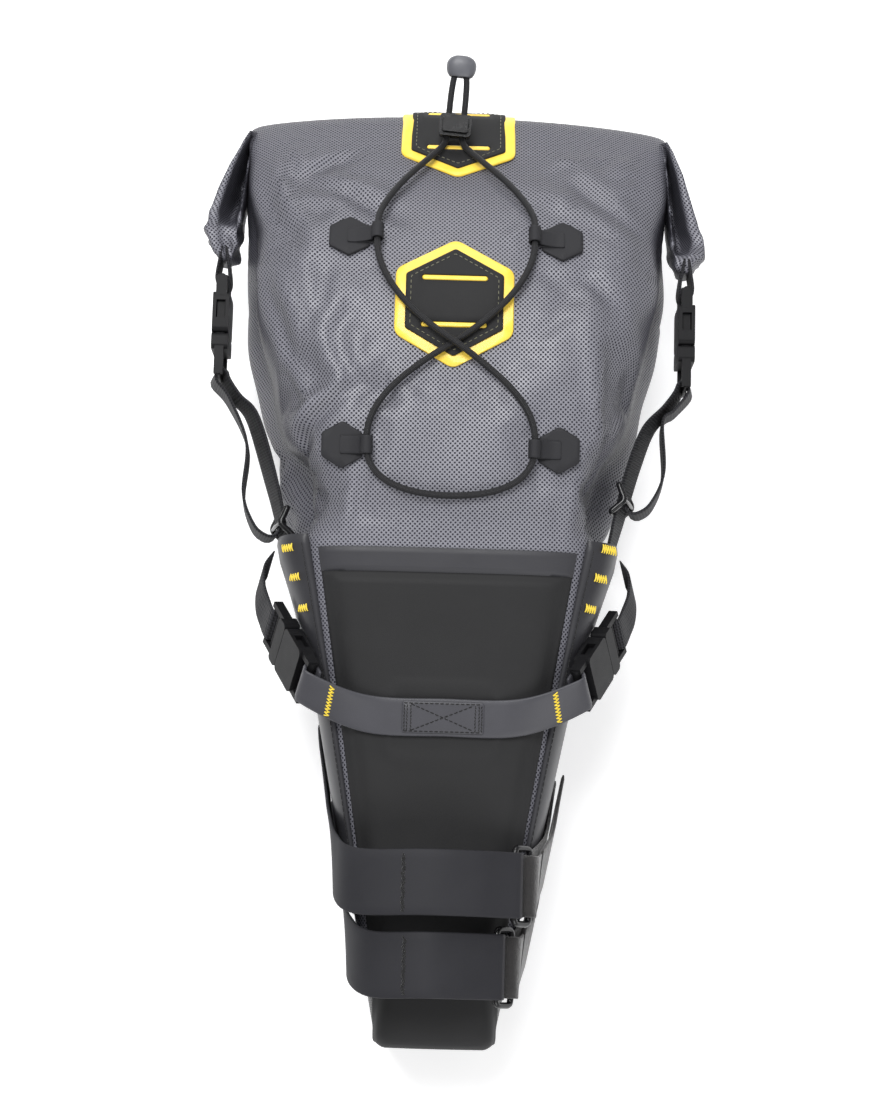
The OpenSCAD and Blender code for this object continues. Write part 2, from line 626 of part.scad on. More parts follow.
module cord_end_cap() color("#55565b") at_lock() difference() {
    translate([tail_l - 6, 0, strand_z]) hull() {
        for (s = [-1, 1]) translate([0, s * 3.4, 0]) rotate([0, 90, 0]) cylinder(d = 7.6, h = 4, $fn = 32);
        for (s = [-1, 1]) translate([8, s * 3, 0]) sphere(d = 9, $fn = 32);
    }
    for (s = [-1, 1]) translate([tail_l - 8, s * strand_x, strand_z]) rotate([0, 90, 0])
        cylinder(d = cord_d + 0.2, h = 8.4, $fn = 32);
}

// ---------- compression straps ----------

strap_z = roll_buckle_z;
plug_bar_y = roll_mouth_y - plug_bar_x;
strap_off = 4.7;                 // how far the webbing stands off the body at the slider
function slider_y(right) = right ? 291 : 273;
function side_point(y, off) = [-half_w(y) - off, y, strap_z];
function slider_dir(y) = unit(side_point(y + 6, strap_off) - side_point(y - 6, strap_off));

// From the wing through the slider, round the plug's bar, and back to the slider in a loose loop
function webbing_path(y) = let (b = [roll_buckle_x, plug_bar_y, strap_z], r = plug_turn) smooth_path([
    side_point(263.4, strap_off), side_point(y, strap_off), side_point(y + 14, strap_off),
    side_point(332, strap_off + 2), b + [9.5, -12, 0], b + [3.6, -3, 0], b + [r, 0.4, 0],
    b + [0, r, 0], b + [-r, 0.4, 0], b + [-r, -4, 0], b + [5.6, -14, 0], side_point(y + 44, 13.5),
    side_point(y + 16, 22), side_point(y - 1, 20.5), side_point(y - 7, 15), side_point(y - 6.4, 10),
    side_point(y - 2.4, strap_off + 2.6)], 3);

module compression_webbing(right) color("#1f1f21") placed() on_side(right) {
    path = webbing_path(slider_y(right));
    ribbon(path, same(path, [0, 0, 1]), webbing_w, webbing_t);
}

// The slider's outer bars pass inside the webbing and its middle bar outside it
slider_l = 16;
module strap_slider(right) color("#19191b") placed() on_side(right) {
    y = slider_y(right);
    stand(side_point(y, strap_off), slider_dir(y), [-1, 0, 0]) {
        bar = 2.2;
        lift = webbing_t / 2 + bar / 2 + 0.4;
        w = webbing_w + 5;
        for (x = [-slider_l / 2, 0, slider_l / 2]) translate([x, w / 2, x == 0 ? lift : -lift])
            rotate([90, 0, 0]) cylinder(d = bar, h = w, $fn = 24);
        for (s = [-1, 1]) translate([-slider_l / 2 - bar / 2, s * (w / 2 - 0.4) - 1, -lift - bar / 2])
            cube([slider_l + bar, 2, 2 * lift + bar]);
    }
}

// ---------- assembly ----------

bag_shell();
front_panel();
panel_header();
underside_panel();
nose_stiffener();
wing(false);  // wing_left
wing(true);  // wing_right
wing_bartacks(false);  // wing_bartacks_left
wing_bartacks(true);  // wing_bartacks_right
rail_strap();
rail_strap_patch();
rail_strap_bartacks();
rail_socket(false);  // rail_buckle_socket_left
rail_socket(true);  // rail_buckle_socket_right
rail_plug(false);  // rail_buckle_plug_left
rail_plug(true);  // rail_buckle_plug_right
rail_webbing(false);  // rail_webbing_left
rail_webbing(true);  // rail_webbing_right
seatpost_band(band_y[1]);  // seatpost_band_upper
seatpost_band(band_y[0]);  // seatpost_band_lower
seatpost_ring(band_y[1]);  // seatpost_ring_upper
seatpost_ring(band_y[0]);  // seatpost_ring_lower
hook_strap(band_y[1]);  // hook_strap_upper
hook_strap(band_y[0]);  // hook_strap_lower
hook_tail(band_y[1]);  // hook_tail_upper
hook_tail(band_y[0]);  // hook_tail_lower
light_patch_base_top();
light_patch_face_top();
light_patch_base_rear();
light_patch_face_rear();
cord_anchor_tabs();
cord_anchor_loops();
bungee_cord();
cord_tails();
cord_end_cap();
cord_lock_body();
cord_lock_button();
cord_lock_spring();
roll_closure();
roll_stiffener();
roll_tab(false);  // roll_tab_left
roll_tab(true);  // roll_tab_right
roll_socket(false);  // roll_buckle_socket_left
roll_socket(true);  // roll_buckle_socket_right
roll_plug(false);  // roll_buckle_plug_left
roll_plug(true);  // roll_buckle_plug_right
compression_webbing(false);  // compression_webbing_left
compression_webbing(true);  // compression_webbing_right
strap_slider(false);  // strap_slider_left
strap_slider(true);  // strap_slider_right
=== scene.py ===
# The looks of a roll-top seat pack for a bicycle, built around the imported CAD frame.
# Shapes are worked out in millimetres in the bag's own stations: x across, y from the nose, z up.
# add_mesh() turns them into the frame's metres.
import math

import bmesh
import bpy
import numpy as np
from mathutils import Matrix, Vector
from mathutils.geometry import delaunay_2d_cdt


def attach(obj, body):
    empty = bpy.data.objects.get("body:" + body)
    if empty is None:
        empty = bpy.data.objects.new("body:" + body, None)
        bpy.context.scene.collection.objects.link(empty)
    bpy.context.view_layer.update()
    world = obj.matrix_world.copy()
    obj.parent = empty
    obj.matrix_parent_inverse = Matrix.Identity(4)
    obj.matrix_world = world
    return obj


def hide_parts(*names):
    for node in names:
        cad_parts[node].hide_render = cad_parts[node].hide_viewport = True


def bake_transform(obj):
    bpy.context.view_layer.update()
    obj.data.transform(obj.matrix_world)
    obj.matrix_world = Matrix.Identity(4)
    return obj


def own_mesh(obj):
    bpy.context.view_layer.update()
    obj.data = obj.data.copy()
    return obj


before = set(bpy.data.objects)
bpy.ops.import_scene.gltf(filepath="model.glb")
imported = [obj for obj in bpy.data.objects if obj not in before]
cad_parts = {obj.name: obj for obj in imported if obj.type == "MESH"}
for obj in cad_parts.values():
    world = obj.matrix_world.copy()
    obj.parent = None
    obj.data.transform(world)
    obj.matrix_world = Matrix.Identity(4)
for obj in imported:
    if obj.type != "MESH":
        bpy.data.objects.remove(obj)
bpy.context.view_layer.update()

# ---------- the bag's form, as in the CAD ----------

ORIGIN_Y = 180.0                 # station of the frame's origin
NOSE_W = 64.0
WAIST_W = 164.0
TAIL_W = 234.0
NOSE_H = 78.0
RISE = 0.2125                    # slope of the top face in front of the crown
WAIST_Y = 255.0
SWELL = 170.0                    # the bag widens for this length behind the waist
CROWN_Y = 372.0
MOUTH_Y = 460.0
MOUTH_FLOOR = 54.0
FLOOR_Z = 1.6
FLOOR_Y = 345.0
TAIL_DROP = 0.0034
POWER = 5.0                      # superellipse power of the cross-section
CROWN_Z = NOSE_H + RISE * (WAIST_Y + (CROWN_Y - WAIST_Y) / 2)
ROLL_R1 = 277.0                  # radius and length of the roll's upper arc
ROLL_S1 = 46.0
ROLL_R2 = 21.0                   # radius of the roll's back
CORD_D = 3.5
PANEL_NOSE_W = 55.0
PANEL_WAIST_W = 136.0
PANEL_RISE = 4.6                 # height of the panel's face above the bag's top
NOSE_GUARD = 30.0                # the moulding also covers the bag in front of this station
CORD_H = 5.8                     # height of the cord's centre above the top face


def half_w(y):
    """Half width of the bag at station y."""
    y = np.asarray(y, float)
    t = np.clip((y - WAIST_Y) / SWELL, 0, 1)
    front = (NOSE_W + (WAIST_W - NOSE_W) * y / WAIST_Y) / 2
    return np.where(y < WAIST_Y, front, WAIST_W / 2 + (TAIL_W - WAIST_W) / 2 * (t + t * t * (1 - t)))


def top_z(y):
    """Height of the top face: a slope, a crown and the fall of the tail."""
    y = np.asarray(y, float)
    front = NOSE_H + RISE * y
    crown = NOSE_H + RISE * (y - (y - WAIST_Y) ** 2 / (2 * (CROWN_Y - WAIST_Y)))
    tail = CROWN_Z - TAIL_DROP * (y - CROWN_Y) ** 2
    return np.where(y < WAIST_Y, front, np.where(y < CROWN_Y, crown, tail))


def bottom_z(y):
    """Height of the floor, which curves up to the mouth."""
    y = np.asarray(y, float)
    t = np.clip((y - FLOOR_Y) / (MOUTH_Y - FLOOR_Y), 0, None)
    return FLOOR_Z + (MOUTH_FLOOR - FLOOR_Z) * t ** 2


def top_slope(y):
    """Angle of the top face along the bag."""
    return math.atan(float(top_z(y + 0.5) - top_z(y - 0.5)))


def surface_z(x, y):
    """Height of the upper half of the bag over (x, y)."""
    t = top_z(y)
    b = (t - bottom_z(y)) / 2
    k = np.clip(np.abs(x) / half_w(y), 0, 0.9999) ** POWER
    return t - b + b * (1 - k) ** (1 / POWER)


def spow(v, p):
    """A power that keeps the sign."""
    return np.sign(v) * np.abs(v) ** p


def section_point(y, a, off):
    """A point on the cross-section at station y and angle a in degrees, moved outwards by off."""
    y, a, off = np.broadcast_arrays(np.asarray(y, float), np.radians(a), off)
    b = (top_z(y) - bottom_z(y)) / 2
    zc = (top_z(y) + bottom_z(y)) / 2
    x = (half_w(y) + off) * spow(np.cos(a), 2 / POWER)
    return np.stack([x, y, zc + (b + off) * spow(np.sin(a), 2 / POWER)], -1)


def panel_half(y):
    """Half width of the front panel."""
    return (PANEL_NOSE_W + (PANEL_WAIST_W - PANEL_NOSE_W) * np.asarray(y, float) / WAIST_Y) / 2


def wing_point(y, k, off):
    """A point on the left wing at station y, k from its upper edge (0) to its lower one (1)."""
    angle = 46 - 2 * y / WAIST_Y - k * (64 + 8 * y / WAIST_Y)    # degrees above the bag's mid height
    rise = 7 * np.sin(np.pi * k) * np.clip((y - 180) / 70, 0, 1) ** 1.5
    return section_point(y, 180 - angle, 0.6 + rise + off)


def turn(p, heading, radius, s):
    """The point reached from p (y, z) by turning downwards at a radius for a length s."""
    h = heading - s / radius
    return p + radius * np.array([math.sin(heading) - math.sin(h), math.cos(h) - math.cos(heading)])


ROLL_START = np.array([MOUTH_Y + 0.5, float(top_z(MOUTH_Y + 0.5))])
ROLL_HEADING = top_slope(MOUTH_Y)
ROLL_TURN = turn(ROLL_START, ROLL_HEADING, ROLL_R1, ROLL_S1)
ROLL_HEADING2 = ROLL_HEADING - ROLL_S1 / ROLL_R1
ROLL_LENGTH = ROLL_S1 + ROLL_R2 * (math.pi + ROLL_HEADING2)


def roll_point(s):
    """The point (y, z) a length s round the outside of the roll."""
    if s < ROLL_S1:
        return turn(ROLL_START, ROLL_HEADING, ROLL_R1, s)
    return turn(ROLL_TURN, ROLL_HEADING2, ROLL_R2, s - ROLL_S1)


def roll_bulge(x, s):
    """How far the middle of the roll swells out and its corners draw in."""
    k = np.abs(np.asarray(x)) / (TAIL_W / 2)
    return (6.0 * (1 - k ** 2) - 2.6 * k ** 3) * smoothstep(18, 55, s)


def roll_angle(s):
    """The roll's slope there."""
    return ROLL_HEADING - s / ROLL_R1 if s < ROLL_S1 else ROLL_HEADING2 - (s - ROLL_S1) / ROLL_R2


# ---------- general functions ----------

def station(x, y, z):
    """The frame's metres of a point in the bag's stations."""
    return (x / 1000, (y - ORIGIN_Y) / 1000, z / 1000)


def unit(v):
    """Vectors of length 1 in the directions v."""
    v = np.asarray(v, float)
    return v / np.maximum(np.linalg.norm(v, axis=-1, keepdims=True), 1e-9)


def smoothstep(a, b, x):
    t = np.clip((np.asarray(x, float) - a) / (b - a), 0, 1)
    return t * t * (3 - 2 * t)


def bezier(p, t):
    p = [np.asarray(q, float) for q in p]
    return (1 - t) ** 3 * p[0] + 3 * (1 - t) ** 2 * t * p[1] + 3 * (1 - t) * t * t * p[2] + t ** 3 * p[3]


def smooth_path(points, n):
    """A Catmull-Rom curve through the points, with n steps between each pair."""
    p = np.asarray(points, float)
    out = []
    for i in range(len(p) - 1):
        a, b, c, d = p[max(i - 1, 0)], p[i], p[i + 1], p[min(i + 2, len(p) - 1)]
        for k in range(n):
            t = k / n
            out.append(0.5 * (2 * b + (c - a) * t + (2 * a - 5 * b + 4 * c - d) * t * t
                              + (3 * b - a - 3 * c + d) * t ** 3))
    out.append(p[-1])
    return np.array(out)


def even_path(path, step):
    """The same curve with points at even distances of about step."""
    path = np.asarray(path, float)
    s = np.concatenate([[0], np.cumsum(np.linalg.norm(np.diff(path, axis=0), axis=1))])
    n = max(2, int(round(s[-1] / step)) + 1)
    at = np.linspace(0, s[-1], n)
    return np.stack([np.interp(at, s, path[:, k]) for k in range(path.shape[1])], -1)


def even_ring(outline, n):
    """n points evenly spaced round an outline that ends on its first point."""
    return even_path(outline, run(outline[None], 1)[0, -1] / n)[:n]


def tangents(path):
    """Unit directions along an open path."""
    path = np.asarray(path, float)
    t = np.empty_like(path)
    t[1:-1] = path[2:] - path[:-2]
    t[0] = path[1] - path[0]
    t[-1] = path[-1] - path[-2]
    return unit(t)


def mirror(points, really=True):
    """The points on the bag's other side, or the same points when not really."""
    return np.asarray(points, float) * ([-1, 1, 1] if really else 1)


def facing(v, axis):
    """The direction v, turned round if it points down its axis."""
    return v if v[axis] > 0 else -v


def looped(outline):
    """An outline that ends on its first point."""
    return np.concatenate([outline, outline[:1]])


def wobble(x, y, seed=0.0):
    """A smooth, repeatable unevenness between about -1 and 1."""
    return (np.sin(x + 1.7 * seed) * np.cos(y * 0.83 + seed) + np.sin(x * 2.1 - y * 1.3 + 2.9 * seed) * 0.5
            + np.cos(y * 2.3 + x * 0.7 + 4.1 * seed) * 0.35) / 1.85


def run(points, axis):
    """Distance travelled along an axis of a grid of points."""
    d = np.linalg.norm(np.diff(points, axis=axis), axis=-1)
    zero = np.zeros_like(np.take(d, [0], axis))
    return np.concatenate([zero, np.cumsum(d, axis)], axis)


# ---------- meshes ----------

TACK_PITCH = 0.95                # spacing and radius of the threads of a bartack
TACK_R = 0.36


SIDES = ((False, "left"), (True, "right"))


def side_name(right):
    return SIDES[right][1]


class Shell:
    """Gathers points, faces and face-corner coordinates for one mesh. Its methods return the shell."""

    def __init__(self):
        self.points = []
        self.faces = []
        self.uvs = []

    def add(self, points, faces, uvs):
        base = len(self.points)
        self.points.extend(np.asarray(points, float).reshape(-1, 3))
        for f in faces:
            self.faces.append(tuple(base + i for i in f))
        self.uvs.extend(uvs)
        return self

    def grid(self, pts, caps=True, centre=0):
        """Rings of points, n by m. Corner coordinates are mm along the rows and from the centre column."""
        pts = np.asarray(pts, float)
        n, m = pts.shape[:2]
        v = run(np.concatenate([pts, pts[:, :1]], 1), 1)
        v = v - v[:, [centre]]
        u = run(pts[:, [centre]], 0)[:, 0]
        faces = []
        uvs = []
        for i in range(n - 1):
            for j in range(m):
                k = (j + 1) % m
                faces.append((i * m + j, i * m + k, (i + 1) * m + k, (i + 1) * m + j))
                uvs += [(v[a, b], u[a]) for a, b in ((i, j), (i, j + 1), (i + 1, j + 1), (i + 1, j))]
        if caps:
            for row, back in ((0, True), (n - 1, False)):
                ring = [row * m + j for j in range(m)]
                faces.append(tuple(reversed(ring)) if back else tuple(ring))
                uvs += [(v[row, j], u[row]) for j in (reversed(range(m)) if back else range(m))]
        return self.add(pts, faces, uvs)

    def tube(self, path, radius, sides, closed=False):
        """A round bar along a path, with rounded ends."""
        path = np.asarray(path, float)
        t = unit(np.roll(path, -1, 0) - np.roll(path, 1, 0)) if closed else tangents(path)
        side = unit(np.cross(t[0], [0.31, 0.17, 1.0]))    # any direction that no path starts along
        a = np.linspace(0, 2 * math.pi, sides, endpoint=False)[:, None]
        rings = []
        for p, d in zip(path, t):
            side = unit(side - d * np.dot(side, d))
            rings.append(p + radius * (np.cos(a) * side + np.sin(a) * np.cross(d, side)))
        rings = np.array(rings)
        if closed:
            return self.grid(looped(rings), caps=False)
        first = path[0] + (rings[0] - path[0]) * 0.6 - t[0] * radius * 0.45
        last = path[-1] + (rings[-1] - path[-1]) * 0.6 + t[-1] * radius * 0.45
        return self.grid(np.concatenate([[first], rings, [last]]))

    def stitches(self, line, length, gap, r, lift=None):
        """Short threads along a line. Each one dips at its ends by lift."""
        line = even_path(line, 0.35)
        s = run(line[None], 1)[0]
        at = 0.0
        while at + length <= s[-1] + 0.01:
            q = np.linspace(at, at + length, 5)
            p = np.stack([np.interp(q, s, line[:, k]) for k in range(3)], -1)
            if lift is not None:
                p = p - np.outer([1.0, 0.25, 0, 0.25, 1.0], lift)
            self.tube(p, r, 6)
            at += length + gap
        return self

    def zigzag(self, p, along, across, normal, length, width):
        """A bar of dense stitching centred on p: threads that run across, side by side."""
        n = int(length / TACK_PITCH)
        along, across, normal = unit(along), unit(across), unit(normal)
        for i in range(n):
            a = (i - (n - 1) / 2) * TACK_PITCH
            slant = 0.5 * TACK_PITCH * (1 if i % 2 else -1)
            w = width / 2 * (1 + 0.05 * math.sin(i * 2.4) + 0.04 * math.sin(i * 5.1))
            q = [(-1, -0.35), (-0.8, 0.1), (0, 0.26), (0.8, 0.1), (1, -0.35)]
            self.tube([p + along * (a + slant * k) + across * w * k + normal * h for k, h in q], TACK_R, 6)
        return self


def add_mesh(name, shell, material, sharp=None):
    """Makes an object of a shell. Edges over sharp degrees stay sharp."""
    mesh = bpy.data.meshes.new(name)
    points = (np.array(shell.points) - [0, ORIGIN_Y, 0]) / 1000
    mesh.from_pydata(points.tolist(), [], shell.faces)
    layer = mesh.uv_layers.new(name="UVMap")
    layer.data.foreach_set("uv", (np.array(shell.uvs, float) / 1000).ravel())
    mesh.materials.append(material)
    obj = bpy.data.objects.new(name, mesh)
    bpy.context.scene.collection.objects.link(obj)
    bm = bmesh.new()
    bm.from_mesh(mesh)
    bmesh.ops.recalc_face_normals(bm, faces=bm.faces)
    bm.to_mesh(mesh)
    bm.free()
    mesh.shade_smooth()
    if sharp is not None:
        mesh.set_sharp_from_angle(angle=math.radians(sharp))
    return obj


def dress(obj, body, slot, *nodes):
    """Gives a finished piece its body and hides the CAD nodes that it stands for. slot is not used."""
    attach(obj, body)
    if nodes:
        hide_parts(*nodes)
    return obj


def stretch(obj, bodies, start, end, slot, *nodes):
    """Hides the CAD nodes that a soft piece stands for and bakes its placing into its mesh. bodies, start,
    end and slot are not used.
    """
    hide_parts(*nodes)
    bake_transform(obj)


def ribbon_profile(w, t):
    """A strap's section: half-rounded edges and flat faces. Its second half is the first one turned round."""
    flat = w / 2 - t / 2
    edge = [(flat + t / 2 * math.cos(a), t / 2 * math.sin(a)) for a in np.radians(np.linspace(-90, 90, 5))]
    half = np.array(edge + [(-k * flat, t / 2) for k in np.linspace(-1, 1, 9)[1:-1]])
    return np.concatenate([half, -half])


def ribbon_frames(path, across):
    """Unit vectors across a strap and out of its face, at each point of its path."""
    d = unit(np.broadcast_to(across, path.shape))
    return d, unit(np.cross(d, tangents(path)))


def ribbon(shell, path, across, w, t):
    """A flat strap along a path, with rounded edges."""
    rings = []
    for i, (p, a, b) in enumerate(zip(path, *ribbon_frames(path, across))):
        end = i in (0, len(path) - 1)
        prof = ribbon_profile(w - (0.8 if end else 0), t * (0.6 if end else 1))
        rings.append(p + prof[:, :1] * a + prof[:, 1:] * b)
    return shell.grid(rings)


def add_strap(name, path, across, w, t, material, right=False):
    """A strap that is an object of its own, mirrored for the right side."""
    shell = ribbon(Shell(), mirror(path, right), mirror(across, right), w, t)
    return add_mesh(name, shell, material, sharp=70)


def sew(name, material, line, length, gap, r, lift=None):
    """Stitches along one line, as an object of their own."""
    return add_mesh(name, Shell().stitches(line, length, gap, r, lift), material)


def normals_of(grid):
    return unit(np.cross(np.gradient(grid, axis=1), np.gradient(grid, axis=0)))


def facing_normals(grid, column, axis):
    """Normals of an open grid, turned so that the one at this column points along an axis."""
    normal = normals_of(grid)
    return -normal if normal[0, column, axis] < 0 else normal


def ring_normals(rows):
    """Outward normals of closed rings."""
    normal = normals_of(np.concatenate([rows[:, -1:], rows, rows[:, :1]], 1))[:, 1:-1]
    outward = rows - rows.mean(1, keepdims=True)
    return -normal if np.sum(normal * outward) < 0 else normal


def sheet(base, normal, top, under):
    """A closed sheet over a grid of base points: its faces stand off them by top and by under."""
    top = np.broadcast_to(top, base.shape[:2])[..., None]
    under = np.broadcast_to(under, base.shape[:2])[..., None]
    rows = np.concatenate([base + normal * top, (base + normal * under)[:, ::-1]], 1)
    return Shell().grid(rows, centre=base.shape[1] // 2)


def quarter_round(k):
    """The height, 0 to 1, of a rounded edge at a share k of its width."""
    return np.sqrt(np.clip(1 - (1 - np.clip(k, 0, 1)) ** 2, 0, 1))


def edge_round(n, m, spacing_u, spacing_v, r):
    """1 inside a grid, falling to 0 over a rounded border r mm wide."""
    u = np.arange(n) * spacing_u
    v = np.arange(m) * spacing_v
    du = np.minimum(u, u[-1] - u)[:, None]
    dv = np.minimum(v, v[-1] - v)[None]
    return quarter_round(np.minimum(du, dv) / r)


def rounded_polygon(corners, r, n=5):
    """A closed outline through corners rounded at radius r."""
    pts = np.asarray(corners, float)
    out = []
    for i in range(len(pts)):
        p, a, b = pts[i], pts[i - 1], pts[(i + 1) % len(pts)]
        ua, ub = unit(a - p), unit(b - p)
        half = math.acos(np.clip(np.dot(ua, ub), -1, 1)) / 2
        cut = min(r / math.tan(half), 0.45 * min(np.linalg.norm(a - p), np.linalg.norm(b - p)))
        start, end = p + ua * cut, p + ub * cut
        for k in range(n + 1):
            t = k / n
            out.append((1 - t) ** 2 * start + 2 * t * (1 - t) * p + t * t * end)
    return np.array(out)


def hexagon(r):
    return [(r * math.sin(a), r * math.cos(a)) for a in np.radians(range(0, 360, 60))]


def stadium(cy, length, w):
    """A slot's outline: a bar across the bag with round ends."""
    half = np.radians(np.linspace(-90, 90, 9))
    return np.array([(s * ((length - w) / 2 + w / 2 * math.cos(a)), cy + s * w / 2 * math.sin(a))
                     for s in (1, -1) for a in half])


def inside(p, outline):
    """Whether a flat point lies in an outline, by the number of edges to its right."""
    x, y = p
    hit = False
    for (x0, y0), (x1, y1) in zip(outline, np.roll(outline, -1, 0)):
        if (y0 > y) != (y1 > y) and x < (x1 - x0) * (y - y0) / (y1 - y0) + x0:
            hit = not hit
    return hit


def in_plate(p, loops):
    """Inside the first loop and outside the others, which are holes."""
    return inside(p, loops[0]) and not any(inside(p, hole) for hole in loops[1:])


def plate(shell, outline, holes, place, t0, t1, step=4.0, round_edge=0.35):
    """A plate cut to an outline with holes. place(x, y, h) puts a flat point at height h."""
    loops = [np.asarray(outline, float)] + [np.asarray(h, float) for h in holes]
    verts = []
    edges = []
    for loop in loops:
        base = len(verts)
        verts += [Vector(q) for q in loop]
        edges += [(base + i, base + (i + 1) % len(loop)) for i in range(len(loop))]
    lo, hi = loops[0].min(0), loops[0].max(0)
    for x in np.arange(lo[0] + step / 2, hi[0], step):
        for y in np.arange(lo[1] + step / 2, hi[1], step):
            near = min(np.min(np.linalg.norm(loop - [x, y], axis=1)) for loop in loops)
            if near > step * 0.45 and in_plate((x, y), loops):
                verts.append(Vector((x, y)))
    flat, _, tris, _, _, _ = delaunay_2d_cdt(verts, edges, [], 0, 1e-5)
    flat = np.array([(q.x, q.y) for q in flat])
    keep = [tuple(f) for f in tris if in_plate(flat[list(f)].mean(0), loops)]
    sides = dict.fromkeys((a, b) for f in keep for a, b in zip(f, f[1:] + f[:1]))
    rim = [(a, b) for (a, b) in sides if (b, a) not in sides]
    n = len(flat)
    inward = np.zeros((n, 2))
    for a, b in rim:
        d = unit(flat[b] - flat[a])
        side = np.array([-d[1], d[0]])
        inward[a] += side
        inward[b] += side
    inward = unit(inward) * (np.linalg.norm(inward, axis=1, keepdims=True) > 0)
    shrunk = flat + inward * round_edge
    levels = [(shrunk, t1), (flat, t1 - round_edge), (flat, t0)]
    points = [place(x, y, h) for grid, h in levels for x, y in grid]
    faces = list(keep)
    faces += [tuple(2 * n + i for i in reversed(f)) for f in keep]
    for a, b in rim:
        for level in (0, 1):
            faces.append((level * n + b, level * n + a, (level + 1) * n + a, (level + 1) * n + b))
    uv_of = [tuple(q) for q in flat] * 3
    return shell.add(points, faces, [uv_of[i] for f in faces for i in f])


# ---------- materials ----------

WEAVE_PITCH = 2.5                # mm from gap to gap
WEBBING_RIB = 1.6


def srgb(r, g, b):
    """Linear colour of an 8-bit screen colour."""
    parts = (c / 255 for c in (r, g, b))
    return tuple(c / 12.92 if c <= 0.04 else ((c + 0.055) / 1.055) ** 2.4 for c in parts) + (1.0,)


class Finish:
    """A material built from nodes."""

    def __init__(self, name, rough=0.6, specular=0.4, coat=0.0, sheen=0.0, metal=0.0):
        self.mat = bpy.data.materials.new(name)
        self.mat.use_nodes = True
        self.tree = self.mat.node_tree
        self.bsdf = self.tree.nodes["Principled BSDF"]
        for key, value in (("Roughness", rough), ("Specular IOR Level", specular), ("Coat Weight", coat),
                           ("Coat Roughness", 0.15), ("Sheen Weight", sheen), ("Sheen Roughness", 0.5),
                           ("Metallic", metal)):
            self.bsdf.inputs[key].default_value = value

    def node(self, kind, **values):
        n = self.tree.nodes.new(kind)
        for key, value in values.items():
            setattr(n, key, value)
        return n

    def feed(self, socket, value):
        if isinstance(value, bpy.types.NodeSocket):
            self.tree.links.new(value, socket)
        else:
            socket.default_value = value

    def math(self, operation, a, b=0.0, c=0.0):
        n = self.node("ShaderNodeMath", operation=operation)
        for socket, value in zip(n.inputs, (a, b, c)):
            self.feed(socket, value)
        return n.outputs[0]

    def coords(self, kind="UV"):
        """A point's place in mm: on the piece's surface (UV) or in the frame (Object)."""
        n = self.node("ShaderNodeTexCoord")
        scale = self.node("ShaderNodeVectorMath", operation="SCALE")
        self.feed(scale.inputs[0], n.outputs[kind])
        scale.inputs["Scale"].default_value = 1000.0
        return scale.outputs[0]

    def split(self, vector):
        n = self.node("ShaderNodeSeparateXYZ")
        self.feed(n.inputs[0], vector)
        return n.outputs

    def noise(self, vector, size, detail=3.0, rough=0.55):
        """Noise whose features are about size mm across, from 0 to 1."""
        n = self.node("ShaderNodeTexNoise")
        self.feed(n.inputs["Vector"], vector)
        n.inputs["Scale"].default_value = 1.0 / size
        n.inputs["Detail"].default_value = detail
        n.inputs["Roughness"].default_value = rough
        return n.outputs["Fac"]

    def wave(self, x, pitch):
        """A cosine of x in mm, from -1 to 1."""
        return self.math("COSINE", self.math("MULTIPLY", x, 2 * math.pi / pitch))

    def ramp(self, value, low, high):
        """A smooth step from 0 at low to 1 at high."""
        n = self.node("ShaderNodeMapRange", interpolation_type="SMOOTHSTEP")
        self.feed(n.inputs["Value"], value)
        n.inputs["From Min"].default_value = low
        n.inputs["From Max"].default_value = high
        return n.outputs["Result"]

    def mix(self, factor, a, b):
        n = self.node("ShaderNodeMix", data_type="RGBA")
        self.feed(n.inputs["Factor"], factor)
        self.feed(n.inputs[6], a)
        self.feed(n.inputs[7], b)
        return n.outputs[2]

    def colour(self, value):
        self.feed(self.bsdf.inputs["Base Color"], value)

    def rough(self, value):
        self.feed(self.bsdf.inputs["Roughness"], value)

    def bump(self, height, depth, strength):
        """Relief whose height of 0 to 1 stands for depth mm."""
        n = self.node("ShaderNodeBump")
        n.inputs["Strength"].default_value = strength
        n.inputs["Distance"].default_value = depth / 1000
        self.feed(n.inputs["Height"], height)
        if self.bsdf.inputs["Normal"].links:
            self.feed(n.inputs["Normal"], self.bsdf.inputs["Normal"].links[0].from_socket)
        self.feed(self.bsdf.inputs["Normal"], n.outputs[0])


